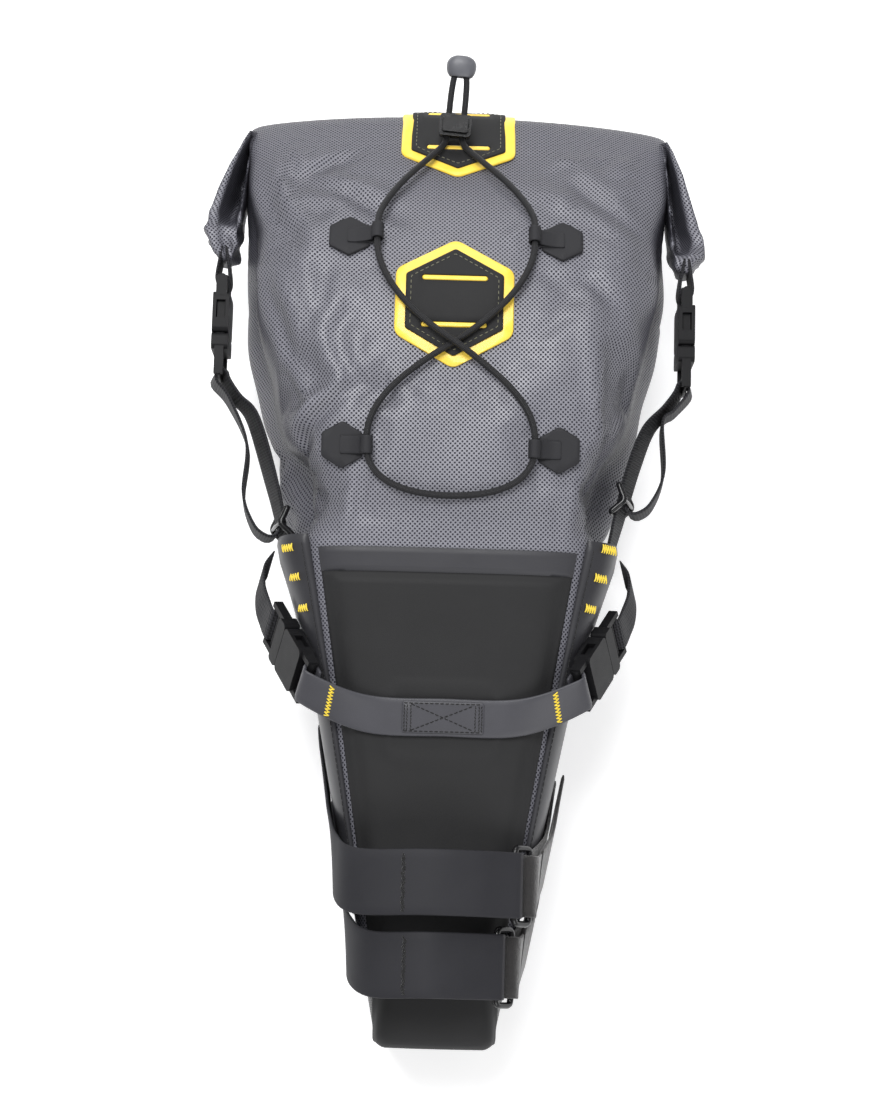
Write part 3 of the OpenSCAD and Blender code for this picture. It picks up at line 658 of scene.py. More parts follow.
def weave_finish():
    """Coated cloth: raised threads round staggered dark gaps, with painted shade that darkens it where the
    surface turns away from the view. In front of NOSE_GUARD it is plain moulding.
    """
    f = Finish("coated_weave_cloth", rough=0.42, specular=0.45)
    u, v, _ = f.split(f.coords())
    cell = f.math("MULTIPLY", f.wave(u, WEAVE_PITCH), f.wave(v, WEAVE_PITCH))
    thread = f.ramp(cell, -0.72, 0.0)
    broad = f.noise(f.coords("Object"), 26, 3)
    fine = f.noise(f.coords("Object"), 0.9, 2)
    light = f.mix(fine, srgb(108, 108, 116), srgb(146, 146, 155))
    dark = f.mix(broad, srgb(40, 40, 47), srgb(54, 54, 62))
    _, station_y, _ = f.split(f.coords("Object"))
    nose = f.ramp(station_y, NOSE_GUARD - ORIGIN_Y + 1.5, NOSE_GUARD - ORIGIN_Y - 1.5)
    cloth = f.mix(thread, dark, light)
    # painted shade: the cloth's colour is mixed towards darker tones where the surface is seen at a grazing
    # angle, standing in for the light falling off on faces that turn away
    view = f.node("ShaderNodeLayerWeight")
    view.inputs["Blend"].default_value = 0.5
    painted_grazing_shade = f.mix(thread, srgb(26, 26, 31), srgb(66, 66, 74))
    shaded = f.mix(f.math("MULTIPLY", view.outputs["Facing"], 1.15), cloth, painted_grazing_shade)
    f.colour(f.mix(nose, shaded, srgb(38, 38, 39)))
    f.rough(f.math("MULTIPLY_ADD", thread, -0.16, 0.56))
    f.feed(f.bsdf.inputs["Specular IOR Level"], f.math("MULTIPLY_ADD", thread, 0.42, 0.04))
    f.bump(broad, 0.5, 0.25)
    f.bump(thread, 0.3, 0.9)
    return f.mat


def grained_finish(name, low, high, rough, depth, grain, specular=0.35):
    """A moulded or coated surface with a fine grain and faint cloudiness."""
    f = Finish(name, rough=rough, specular=specular)
    at = f.coords("Object")
    cloud = f.noise(at, 22, 4)
    grain_noise = f.noise(at, grain, 2)
    f.colour(f.mix(f.math("MULTIPLY_ADD", cloud, 0.75, f.math("MULTIPLY", grain_noise, 0.25)), low, high))
    f.rough(f.math("MULTIPLY_ADD", cloud, 0.16, rough - 0.08))
    f.bump(grain_noise, depth, 0.7)
    return f.mat


def webbing_finish():
    """Ribbed webbing: cords along its length, with the weft showing as short cross ribs."""
    f = Finish("nylon_webbing", rough=0.7, specular=0.2, sheen=0.04)
    across, along, _ = f.split(f.coords())
    rib = f.wave(along, WEBBING_RIB)
    cord = f.wave(across, 1.7)
    twill = f.wave(f.math("ADD", along, f.math("MULTIPLY", across, 0.5)), WEBBING_RIB)
    height = f.math("MULTIPLY_ADD", f.math("ADD", rib, f.math("MULTIPLY", twill, 0.6)), 0.25, 0.5)
    height = f.math("ADD", height, f.math("MULTIPLY", cord, 0.14))
    f.colour(f.mix(f.ramp(height, 0.05, 0.95), srgb(12, 12, 14), srgb(52, 52, 56)))
    f.bump(height, 0.4, 0.9)
    return f.mat


def thread_finish(name, low, high, rough=0.55):
    """Twisted sewing thread."""
    f = Finish(name, rough=rough, specular=0.35, sheen=0.3)
    _, along, _ = f.split(f.coords())
    twist = f.wave(along, 0.55)
    f.colour(f.mix(f.ramp(twist, -1, 1), low, high))
    f.bump(f.math("MULTIPLY_ADD", twist, 0.5, 0.5), 0.08, 0.6)
    return f.mat


def cord_finish():
    """Braided elastic cord."""
    f = Finish("braided_cord", rough=0.55, specular=0.28, sheen=0.05)
    around, along, _ = f.split(f.coords())
    a = f.wave(f.math("ADD", around, along), 1.5)
    b = f.wave(f.math("SUBTRACT", around, along), 1.5)
    weave = f.math("MULTIPLY_ADD", f.math("MULTIPLY", a, b), 0.5, 0.5)
    f.colour(f.mix(weave, srgb(12, 12, 13), srgb(42, 42, 45)))
    f.bump(weave, 0.25, 0.8)
    return f.mat


def fleece_finish():
    """Fleecy loop tape."""
    f = Finish("hook_and_loop_fleece", rough=0.85, specular=0.15, sheen=0.6)
    at = f.coords("Object")
    fuzz = f.noise(at, 0.7, 5, 0.75)
    tuft = f.noise(at, 3.5, 3)
    pile = f.math("MULTIPLY_ADD", fuzz, 0.6, f.math("MULTIPLY", tuft, 0.4))
    f.colour(f.mix(pile, srgb(18, 18, 19), srgb(60, 58, 58)))
    f.bump(fuzz, 0.6, 0.8)
    f.bump(tuft, 0.8, 0.5)
    return f.mat


def plastic_finish(name, colour, rough, coat=0.0, specular=0.5):
    """Moulded plastic with patchy wear and a faint spark."""
    f = Finish(name, rough=rough, specular=specular, coat=coat)
    at = f.coords("Object")
    spark = f.noise(at, 0.25, 2)
    wear = f.noise(at, 9, 3)
    lighter = tuple(min(1, c * 1.5 + 0.004) for c in colour[:3]) + (1.0,)
    f.colour(f.mix(wear, colour, lighter))
    f.rough(f.math("MULTIPLY_ADD", wear, 0.14, rough - 0.07))
    f.bump(spark, 0.05, 0.5)
    return f.mat


def yellow_film_finish():
    """Welded film with a slight gloss."""
    f = Finish("yellow_welded_film", rough=0.38, specular=0.4, coat=0.15)
    at = f.coords("Object")
    cloud = f.noise(at, 7, 3)
    f.colour(f.mix(cloud, srgb(250, 205, 60), srgb(255, 226, 96)))
    f.bump(f.noise(at, 0.9, 2), 0.05, 0.5)
    return f.mat


def spring_finish():
    """Bright steel wire."""
    f = Finish("spring_steel_wire", rough=0.3, metal=1.0)
    f.colour(f.mix(f.noise(f.coords("Object"), 0.6), srgb(150, 152, 156), srgb(205, 207, 210)))
    return f.mat


WEAVE = weave_finish()
PANEL = grained_finish("moulded_panel_skin", srgb(31, 31, 32), srgb(44, 44, 45), 0.66, 0.09, 0.4, 0.25)
HEADER = grained_finish("header_band_skin", srgb(49, 49, 53), srgb(60, 60, 64), 0.52, 0.05, 0.5)
UNDERSIDE = grained_finish("underside_cloth", srgb(40, 40, 42), srgb(56, 56, 58), 0.7, 0.25, 1.2)
WING = grained_finish("rubberised_wing_cloth", srgb(42, 42, 45), srgb(56, 56, 60), 0.42, 0.04, 0.6)
STRAP = grained_finish("strap_laminate_skin", srgb(58, 58, 62), srgb(74, 74, 80), 0.46, 0.05, 0.7)
BAND = grained_finish("seatpost_band_laminate", srgb(36, 36, 40), srgb(47, 47, 51), 0.62, 0.05, 0.7, 0.22)
PATCH = grained_finish("patch_rubber_skin", srgb(25, 25, 26), srgb(33, 33, 34), 0.72, 0.1, 0.5)
TAB = grained_finish("anchor_tab_rubber", srgb(34, 34, 37), srgb(46, 46, 49), 0.66, 0.06, 0.6, 0.25)
WEBBING = webbing_finish()
YELLOW_THREAD = thread_finish("yellow_thread_twist", srgb(226, 184, 16), srgb(255, 236, 84))
BLACK_THREAD = thread_finish("black_thread_twist", srgb(6, 6, 7), srgb(24, 24, 26), 0.8)
GREY_THREAD = thread_finish("grey_thread_twist", srgb(96, 96, 104), srgb(150, 150, 158))
PATCH_THREAD = thread_finish("patch_thread_twist", srgb(70, 70, 62), srgb(140, 138, 108))
CORD = cord_finish()
FLEECE = fleece_finish()
BUCKLE = plastic_finish("buckle_acetal", srgb(15, 15, 17), 0.5, specular=0.15)
GLOSS = plastic_finish("gloss_moulding", srgb(16, 16, 18), 0.26, coat=0.1, specular=0.35)
CAP = plastic_finish("cap_moulding", srgb(80, 81, 86), 0.4)
YELLOW_FILM = yellow_film_finish()
SPRING = spring_finish()
STIFFENER = plastic_finish("stiffener_sheet", srgb(210, 210, 212), 0.5)


# ---------- bag skin ----------

CLOTH = {"quality": 4, "mass": 0.15, "tension_stiffness": 20, "compression_stiffness": 20,
         "shear_stiffness": 6, "bending_stiffness": 5, "use_pressure": True,
         "uniform_pressure_force": 4, "shrink_min": -0.045}
CLOTH_STEPS = 18
FOLD_OUT = 2.2                   # how far the simulation may move the cloth out and in
FOLD_IN = 4.0
RING_POINTS = 168


def ring_offsets(w, b, power=POWER):
    """Points evenly spaced round a superellipse of half sizes w and b, from bottom centre by the left."""
    k = 0.5 ** (1 / power)
    s = np.linspace(0, k, 60)
    rest = (1 - s ** power) ** (1 / power)
    quarter = np.concatenate([np.stack([s, rest], -1), np.stack([rest[:-1], s[:-1]], -1)[::-1]])
    quarter = quarter * [w, b]
    left = np.concatenate([quarter[:-1] * [-1, -1], (quarter * [-1, 1])[::-1]])
    return even_ring(np.concatenate([left, (left * [-1, 1])[::-1][1:]]), RING_POINTS)


CREASES = [                       # from (x, y) to (x, y), width across, height: negative is a valley
    ((-104, 392), (-70, 332), 10, -3.4),
    ((-96, 402), (-80, 350), 7, 2.0),
    ((-62, 340), (-92, 318), 6, 2.4),
    ((-64, 328), (-90, 300), 7, -2.8),
    ((-50, 300), (-56, 262), 6, 1.6),
    ((-100, 352), (-84, 330), 7, -2.2),
    ((-74, 366), (-60, 338), 8, 1.2),
    ((84, 396), (92, 340), 10, -2.0),
    ((72, 380), (80, 300), 7, 1.6),
    ((72, 318), (64, 262), 6, 1.8),
    ((-72, 462), (-34, 446), 8, 2.0),
    ((-64, 452), (-30, 436), 7, -2.0),
    ((38, 462), (66, 440), 8, 1.8),
    ((60, 462), (98, 432), 8, -2.6),
    ((-106, 452), (-84, 418), 8, -2.8),
    ((-100, 470), (-92, 430), 7, 1.6),
]
DENTS = [                         # centre x, y, radii, depth
    (-88, 284, 27, 27, -8.0),
    (91, 288, 15, 30, -9.0),
    (-100, 352, 14, 26, -2.6),
    (104, 372, 12, 40, -2.2),
]


def relief(x, y):
    """Height in mm of the folds in the cloth, over the upper half of the bag."""
    h = np.zeros(np.broadcast(x, y).shape)
    for (x0, y0), (x1, y1), width, height in CREASES:
        d = np.array([x1 - x0, y1 - y0], float)
        length = np.linalg.norm(d)
        d = d / length
        mid = np.array([x0 + x1, y0 + y1]) / 2
        along = (x - mid[0]) * d[0] + (y - mid[1]) * d[1]
        side = (-(x - mid[0]) * d[1] + (y - mid[1]) * d[0]) / width
        h = h + height * np.exp(-(along / (length * 0.55)) ** 4) * (1 - 0.9 * side ** 2) * np.exp(-side ** 2)
    for cx, cy, rx, ry, depth in DENTS:
        h = h + depth * np.exp(-(((x - cx) / rx) ** 2 + ((y - cy) / ry) ** 2) ** 1.4)
    return h


def cloth_relief(p):
    """How far each point of the bag's cloth stands off its nominal surface."""
    x, y, z = p[..., 0], p[..., 1], p[..., 2]
    middle = (top_z(y) + bottom_z(y)) / 2
    upper = smoothstep(-0.2, 0.35, (z - middle) / 40)
    loose = smoothstep(256, 272, y) * (1 - smoothstep(478, 500, y))
    flat = 1 - np.exp(-((x / 44) ** 4 + ((y - PATCH_Y) / 44) ** 4))
    for anchor_y in ANCHOR_Y:
        flat = flat * (1 - np.exp(-(((np.abs(x) - TAB_HOLD_X) / 15) ** 4 + ((y - anchor_y) / 15) ** 4)))
    h = relief(x, y) * upper
    h = h + 0.9 * wobble(x / 17, y / 19, 0.4) * loose
    wide = np.abs(x) / half_w(np.minimum(y, 459))
    shoulder = smoothstep(0.58, 1.04, wide) ** 1.2 * upper * (1 - smoothstep(430, 470, y))
    h = h - np.where(x < 0, 8.0, 6.0) * shoulder
    side = smoothstep(0.75, 1.0, wide)
    h = h + side * loose * (1.6 * wobble(z / 14, y / 16, 1.3) - 0.6)
    h = h + (1 - upper) * loose * 1.2 * wobble(x / 21, y / 15, 2.2)
    return h * flat * loose


def bag_rows():
    """Rings of the bag's skin, from the nose over the roll to its closing seam."""
    rows = [(4 * (1 - math.sin(a)), -4 * (1 - math.cos(a))) for a in np.radians(np.linspace(90, 0, 6))]
    rows += [(y, 0.0) for y in np.arange(6.0, 256, 5.0)]
    rows += [(y, 0.0) for y in np.arange(258.0, MOUTH_Y, 3.2)]
    rings = []
    for y, off in rows:
        b = float(top_z(y) - bottom_z(y)) / 2
        zc = float(top_z(y) + bottom_z(y)) / 2
        ring = ring_offsets(float(half_w(y)) + off, b + off)
        rings.append(np.stack([ring[:, 0], np.full(RING_POINTS, y), zc + ring[:, 1]], -1))
    first = rings[0]
    centre = first.mean(0)
    inner = [centre + (first - centre) * k for k in (0.25, 0.6, 0.85)]
    under = np.array([MOUTH_Y + 0.5, MOUTH_FLOOR])
    last = roll_point(ROLL_LENGTH)
    for t in np.arange(1, 35) / 34:
        top = roll_point(ROLL_LENGTH * t)
        bottom = under + (last - under) * t
        b = max(np.linalg.norm(top - bottom) / 2, 1.2)
        mid = (top + bottom) / 2
        up = unit(top - bottom) if t < 0.999 else np.array([0.0, 1.0])
        ring = ring_offsets(TAIL_W / 2, b, POWER + 13 * float(smoothstep(0, 0.7, t)))
        y = mid[0] + ring[:, 1] * up[0] + roll_bulge(ring[:, 0], ROLL_LENGTH * t)
        rings.append(np.stack([ring[:, 0], y, mid[1] + ring[:, 1] * up[1]], -1))
    return np.array(inner + rings)


def vertex_values(mesh, key):
    """An array of every vertex's vector."""
    values = np.empty(len(mesh.vertices) * 3)
    mesh.vertices.foreach_get(key, values)
    return values.reshape(-1, 3)


def capped(shift, cap):
    """A shift that levels off towards its cap."""
    return np.tanh(shift / cap) * cap


def settle(obj, held):
    """Inflates slack cloth round the points that are held, then keeps the folds within their caps."""
    mesh = obj.data
    rest = vertex_values(mesh, "co")
    normal = vertex_values(mesh, "normal")
    group = obj.vertex_groups.new(name="held")
    for level in range(11):
        chosen = np.nonzero(np.round(held * 10) == level)[0]
        group.add(chosen.tolist(), level / 10, "REPLACE")
    cloth = obj.modifiers.new("cloth", "CLOTH")
    fabric = cloth.settings
    for key, value in CLOTH.items():
        setattr(fabric, key, value)
    fabric.effector_weights.gravity = 0
    fabric.vertex_group_mass = group.name
    cloth.collision_settings.use_collision = False
    cloth.point_cache.frame_start = 1
    cloth.point_cache.frame_end = 20
    scene = bpy.context.scene
    for step in range(1, CLOTH_STEPS + 1):
        scene.frame_set(step)
    moved = vertex_values(obj.evaluated_get(bpy.context.evaluated_depsgraph_get()).data, "co")
    scene.frame_set(1)
    obj.modifiers.remove(cloth)
    obj.vertex_groups.remove(group)
    shift = np.sum((moved - rest) * normal, 1) * 1000
    shift = np.where(shift > 0, capped(shift, FOLD_OUT), capped(shift, FOLD_IN)) / 1000
    rest = rest + normal * (shift * (1 - held))[:, None]
    mesh.vertices.foreach_set("co", rest.ravel())
    mesh.update()


def held_share(points):
    """1 where the bag's cloth is welded down or must keep its place, 0 where it is free to fold."""
    x, y, z = points[:, 0], points[:, 1], points[:, 2]
    held = 1 - smoothstep(258, 282, y) * (1 - smoothstep(474, 492, y))
    patches = [(0, PATCH_Y, 42), (0, 470, 46)] + [(TAB_HOLD_X, y0, 17) for y0 in ANCHOR_Y]
    for cx, cy, r in patches:
        d = np.hypot(np.abs(x) - cx, y - cy)
        held = np.maximum(held, 1 - smoothstep(r * 0.85, r * 1.35, d))
    held = np.maximum(held, 0.8 * smoothstep(92, 106, np.abs(x)) * smoothstep(400, 425, y))
    return np.maximum(held, 1 - smoothstep(4, 16, z))


def build_bag_skin():
    rows = bag_rows()
    rows = rows + ring_normals(rows) * cloth_relief(rows)[..., None]
    shell = Shell().grid(rows, centre=rows.shape[1] // 2)
    obj = add_mesh("bag_skin", shell, WEAVE)
    settle(obj, held_share(np.array(shell.points)))
    return obj


# ---------- front panel ----------

PANEL_END = 243.0
NOSE_EDGE = 6.0                  # radius of the bend over the nose
LIP_LOW = 8.0                    # height of the panel's lower edge
SIDE_SHARE = 0.86                # the grid is finer outside this share of the half width
FINE_END = PANEL_END - 14        # and near the header


def panel_reach(y):
    """Half width of the moulding. It widens at the nose to wrap round the corners."""
    return panel_half(y) + 3.6 * (1 - smoothstep(4, 40, y))


def panel_base():
    """Points that the panel lies on, along the top and down the nose, and how far down each row is."""
    side = np.linspace(SIDE_SHARE, 1, 9)[1:]
    cols = np.concatenate([-side[::-1], np.linspace(-SIDE_SHARE, SIDE_SHARE, 33), side])
    near_header = np.linspace(PANEL_END, FINE_END, 9)[:-1]
    top_y = np.concatenate([near_header, np.linspace(FINE_END, NOSE_EDGE, 70)])
    rows = []
    for y in top_y:
        x = cols * panel_reach(y)
        rows.append((x, y, surface_z(x, y)))
    x0 = cols * panel_reach(NOSE_EDGE)
    s = surface_z(x0, NOSE_EDGE)
    for a in np.radians([18, 36, 54, 72, 90]):
        y = NOSE_EDGE - (NOSE_EDGE + 0.4) * math.sin(a)
        rows.append((x0, y, s - NOSE_EDGE * (1 - math.cos(a)) - 0.2))
    down = np.linspace(0, 1, 16)[1:]
    for k in down:
        z = (s - NOSE_EDGE) * (1 - k) + LIP_LOW * k
        corner = max(0.0, 9 - (1 - k) * 60)
        x = x0 * (1 - 0.06 * k - (9 - math.sqrt(81 - corner * corner)) / 31)
        rows.append((x, -0.4, z - 0.2 * (1 - k)))
    grid = np.array([np.stack([x, np.full_like(x, y), z], -1) for x, y, z in rows])
    return grid, np.concatenate([np.zeros(len(rows) - len(down)), down])


def frame_ridge(x, y, cx, cy, w, h, r, half, height):
    """A raised line round a rounded rectangle."""
    dx = np.abs(x - cx) - (w / 2 - r)
    dy = np.abs(y - cy) - (h / 2 - r)
    d = np.sqrt(np.maximum(dx, 0) ** 2 + np.maximum(dy, 0) ** 2) + np.minimum(np.maximum(dx, dy), 0) - r
    return height * np.exp(-(d / half) ** 2)


def build_front_panel():
    base, down = panel_base()
    normal = facing_normals(base, base.shape[1] // 2, 2)
    width = run(base, 1)
    from_side = np.minimum(width, width[:, -1:] - width)
    from_top = run(base, 0)
    from_low = from_top[-1:] - from_top
    edge = np.minimum(np.minimum(from_side, from_top), from_low)
    nearest = np.minimum(from_side / 1.35, np.minimum(from_top * 1.5, from_low))
    high = 4.2 - 1.9 * smoothstep(0, 0.2, down)[:, None]
    top = 1.5 + (high - 1.5) * smoothstep(2.0, 8.5, nearest)
    top = 0.5 + (top - 0.5) * quarter_round(edge / 1.1)
    x, y = base[..., 0], base[..., 1]
    on_top = (1 - smoothstep(0, 0.05, down))[:, None]
    top = top + on_top * frame_ridge(x, y, 0, 165, 58, 37, 7, 1.7, 0.95)
    top = top - on_top * 0.5 * np.exp(-((x - 4) / 24) ** 2 - ((y - 118) / 16) ** 2)
    top = top + on_top * 0.25 * wobble(x / 30, y / 26, 0.8) * smoothstep(8, 20, nearest)
    return add_mesh("moulded_front_panel", sheet(base, normal, top, 0.3), PANEL, sharp=60)


def build_panel_header():
    ys = np.linspace(PANEL_END - 0.6, WAIST_Y, 9)
    cols = np.linspace(-1, 1, 61)
    x = cols[None] * panel_half(ys)[:, None]
    y = np.broadcast_to(ys[:, None], x.shape)
    base = np.stack([x, y, surface_z(x, y)], -1)
    normal = facing_normals(base, 30, 2)
    top = 0.9 + 0.9 * edge_round(len(ys), len(cols), 1.45, 2.2, 1.4)
    return add_mesh("panel_header_band", sheet(base, normal, top, 0.25), HEADER, sharp=60)


def build_underside():
    outline = rounded_polygon([(-22, 20), (22, 20), (72, WAIST_Y), (86, 335), (-86, 335), (-72, WAIST_Y)], 9)
    shell = plate(Shell(), outline, [], lambda x, y, h: (x, y, h), 0.0, FLOOR_Z - 0.35, step=12)
    panel = add_mesh("underside_cloth_panel", shell, UNDERSIDE, sharp=50)
    inner = rounded_polygon([(-17, 25), (17, 25), (67, WAIST_Y), (81, 330), (-81, 330), (-67, WAIST_Y)], 7)
    line = [(x, y, 0.22) for x, y in looped(inner)]
    return panel, sew("underside_stitching", BLACK_THREAD, line, 2.6, 1.2, 0.32, (0, 0, -0.3))


# ---------- wings ----------

WING_Y = (66, 262)
WING_T = 1.6
WING_TACKS = ((224, 0.13, 0.26), (240, 0.14, 0.29), (255, 0.15, 0.31))   # station, from and to on the wing


def build_wing(right):
    y, k = np.meshgrid(np.linspace(*WING_Y, 66), np.linspace(0, 1, 48), indexing="ij")
    inner = wing_point(y, k, 0.0)
    ripple = 0.5 * wobble(k * 5, y / 18, 3.0 if right else 1.0) * smoothstep(150, 240, y)
    outer = wing_point(y, k, WING_T)
    r = edge_round(*y.shape, 3.0, 1.7, 1.5)[..., None]
    outer = inner + (outer - inner) * (0.35 + 0.65 * r)
    lift = unit(wing_point(y, k, 2.0) - inner) * ripple[..., None] * r
    rows = np.concatenate([outer + lift, (inner + lift)[:, ::-1]], 1)
    shell = Shell().grid(mirror(rows, right), centre=y.shape[1] // 2)
    wing = add_mesh("load_wing_" + side_name(right), shell, WING, sharp=65)
    line = mirror(wing_point(np.linspace(WING_Y[0] + 4, WING_Y[1] - 4, 120), 0.055, 1.75), right)
    return wing, sew("wing_stitching_" + side_name(right), BLACK_THREAD, line, 2.4, 0.9, 0.26)


def build_wing_bartacks(right):
    shell = Shell()
    for i, (y, k0, k1) in enumerate(WING_TACKS):
        y = y + 3.5 if right else y
        k = (k0 + k1) / 2
        up = unit(wing_point(y, k, 3.0) - wing_point(y, k, 1.0))
        along = unit(wing_point(y, k1, 1.75) - wing_point(y, k0, 1.75))
        across = unit(np.cross(up, along))
        mid = wing_point(y, k, 1.85)
        length = 9.0 + 1.4 * i if right else 8.0 + 0.5 * i
        shell.zigzag(*(mirror(v, right) for v in (mid, along, across, up)), length, 4.4 if right else 4.0)
    return add_mesh("wing_bartack_threads_" + side_name(right), shell, YELLOW_THREAD)


# ---------- rail strap ----------

RAIL_Y = 167.0
RAIL_Z = float(top_z(RAIL_Y)) + PANEL_RISE + 1.6
RAIL_AXIS = unit([-19, 32, -30])          # the left buckle's length, its width and the way it faces
RAIL_ACROSS = unit(np.cross([-0.93, 0, 0.37], -RAIL_AXIS))
RAIL_FACE = np.cross(-RAIL_AXIS, RAIL_ACROSS)
RAIL_BAR = np.array([-72, 184, 117.2])    # the bar that the strap is folded round
RAIL_TILT = np.array([0, 1, RISE])
RAIL_STEPS = 6                   # curve steps between two of the strap's points
TACK_AT = 2.35                   # where the bartacks are, in points from the middle
BAR_TURN = 3.4                   # radius of a fold round a socket's bar, and round a plug's
PLUG_TURN = 2.7
BAR_X = 31.0                     # from a buckle's mouth to the socket's bar, and to the plug's
PLUG_BAR_X = 22.5
RAIL_MOUTH = RAIL_BAR + RAIL_AXIS * BAR_X
RAIL_PLUG_BAR = RAIL_MOUTH + RAIL_AXIS * PLUG_BAR_X


def rail_half_points():
    """The left half of the rail strap: flat over the panel, then round the socket's bar and back."""
    flat = [[0, RAIL_Y, RAIL_Z], [-32, RAIL_Y, RAIL_Z], [-52, RAIL_Y + 4, RAIL_Z + 1.2]]
    fold = ((1, 0, -5), (1, 0, 0), (0.7, 0.7, 0), (0, 1, 0), (-0.7, 0.7, 0), (-1, 0, 0), (-1, 0, -5))
    return flat + [RAIL_BAR + BAR_TURN * (u * RAIL_FACE + v * RAIL_AXIS) + w * RAIL_AXIS for u, v, w in fold]


def rail_half():
    """The left half of the rail strap, and its direction across, which turns towards the buckle."""
    path = smooth_path(rail_half_points(), RAIL_STEPS)
    t = np.clip((np.arange(len(path)) - RAIL_STEPS) / (2.0 * RAIL_STEPS), 0, 1)[:, None]
    return path, RAIL_TILT + (RAIL_ACROSS - RAIL_TILT) * t


def build_rail_strap():
    path, across = rail_half()
    full = np.concatenate([path[:0:-1], mirror(path)])
    turned = np.concatenate([across[:0:-1], mirror(across)])
    strap = add_strap("rail_strap_laminate", full, turned, 20, 1.7, STRAP)

    up = unit(np.cross([1, 0, 0], RAIL_TILT))
    flow = unit(RAIL_TILT)
    centre = np.array([0, RAIL_Y, RAIL_Z]) + up * 0.85

    def place(x, y, h):
        return centre + np.array([x, 0, 0]) + flow * y + up * h
    outline = rounded_polygon([(-21.5, -8.3), (21.5, -8.3), (21.5, 8.3), (-21.5, 8.3)], 1.5)
    layer = plate(Shell(), outline, [], place, 0.1, 0.75, step=6, round_edge=0.25)
    patch = add_mesh("rail_strap_patch_layer", layer, STRAP, sharp=50)

    threads = Shell()

    def line(*points):
        return [place(x, y, 0.85) for x, y in points]
    dip = up * 0.3
    row = (1.9, 0.8, 0.32)                       # length, gap and radius of a stitch
    for y in (-7.4, 7.4):
        threads.stitches(line((-20.5, y), (20.5, y)), *row, dip)
    for s in (-1, 1):
        for x in (20.3, 18.9, 16.9):
            jag = [(s * (x + 0.35 * math.sin(k * 2.3 + x)), -7.2 + k * 0.72) for k in range(21)]
            threads.stitches(line(*jag), 1.5, 0.5, 0.3, dip)
    for y in (-6.9, 6.9):
        threads.stitches(line((-16.6, y), (16.6, -y)), *row, dip)
    box = add_mesh("rail_strap_box_stitch", threads, BLACK_THREAD)

    tacks = Shell()
    i = int(TACK_AT * RAIL_STEPS)
    t = tangents(path)[i]
    d = unit(across[i])
    n = facing(unit(np.cross(d, t)), 2)
    for right in (False, True):
        tacks.zigzag(*(mirror(v, right) for v in (path[i] + 0.95 * n, d, t, n)), 17.5, 2.6)
    return strap, patch, box, add_mesh("rail_strap_bartack_threads", tacks, YELLOW_THREAD)


def build_rail_webbing(right):
    """The webbing from the plug's bar over a saddle rail and back to the bag."""
    b = RAIL_PLUG_BAR
    arc = [b - PLUG_TURN * (math.cos(t) * RAIL_FACE + math.sin(t) * RAIL_AXIS)
           for t in np.radians([0, 45, 90, 135, 180])]
    points = [b - PLUG_TURN * RAIL_FACE + 3 * RAIL_AXIS] + arc
    points += [b + np.array(v, float) for v in ([-5, 6, -4], [-8, 15, -8], [-8, 26, -9], [-3, 33, -6])]
    path = smooth_path(points, 6)
    return add_strap("rail_loop_webbing_" + side_name(right), path, RAIL_ACROSS, 19, 1.6, WEBBING, right)


# ---------- seatpost bands ----------

BAND_W = 34.0
POST_GAP = 30.0                  # height of the band's arch over the panel
RING_SPAN = 13.0                 # between the centres of a ring's bars
RING_BAR = 3.6
RING_TURN = RING_BAR / 2 + 1.9   # radius of the band's fold round a bar
SIDE_SLOPE = (WAIST_W - NOSE_W) / 2 / WAIST_Y
TAIL_GAP = 3.2                   # from the tail down to its strap


def side_x(y):
    """How far out the straps run down the sides."""
    return float(half_w(y)) + 3.7


def face_z(y):
    """Height of the front panel's face."""
    return float(top_z(y)) + PANEL_RISE


def ring_a(y):
    """Centre of the ring's bar that is in the fold of the band."""
    return np.array([float(half_w(y)) - 8.4, y, face_z(y) + 14])


def ring_b(y):
    """Centre of the ring's other bar, which the hook-and-loop strap goes round."""
    return ring_a(y) + RING_SPAN * unit([8, 0, -10])


def strap_across(path, y, s):
    """Across a seatpost strap: along the bag, and slanting with the bag's side s lower down."""
    tilt = s * SIDE_SLOPE * np.clip((face_z(y) + 8 - path[:, 2]) / 26, 0, 1)
    return np.stack([tilt, np.ones(len(path)), np.zeros(len(path))], -1)


def band_points(y):
    """A seatpost band, from the left side over the post's gap, round the ring and back."""
    f, a, h = face_z(y), ring_a(y), float(half_w(y))
    crest = f + POST_GAP
    side = [[-side_x(y + d) - off, y + d, f - drop]
            for d, off, drop in ((74, 0, 76), (62, 0.6, 62), (44, 0.6, 42), (24, 0.8, 18), (8, 1.0, -6))]
    over = [[-side_x(y) + 9, y, crest - 8], [-8, y, crest + 1.5], [h - 29, y, crest - 2], a + [-5, 0, 6.8]]
    back = [a + [-8, 0, 3], [h - 24, y, crest - 6.6], [h - 36, y, crest - 4]]
    return side + over + ring_arc(a, RING_TURN, [90, 45, 0, -45, -90]) + back


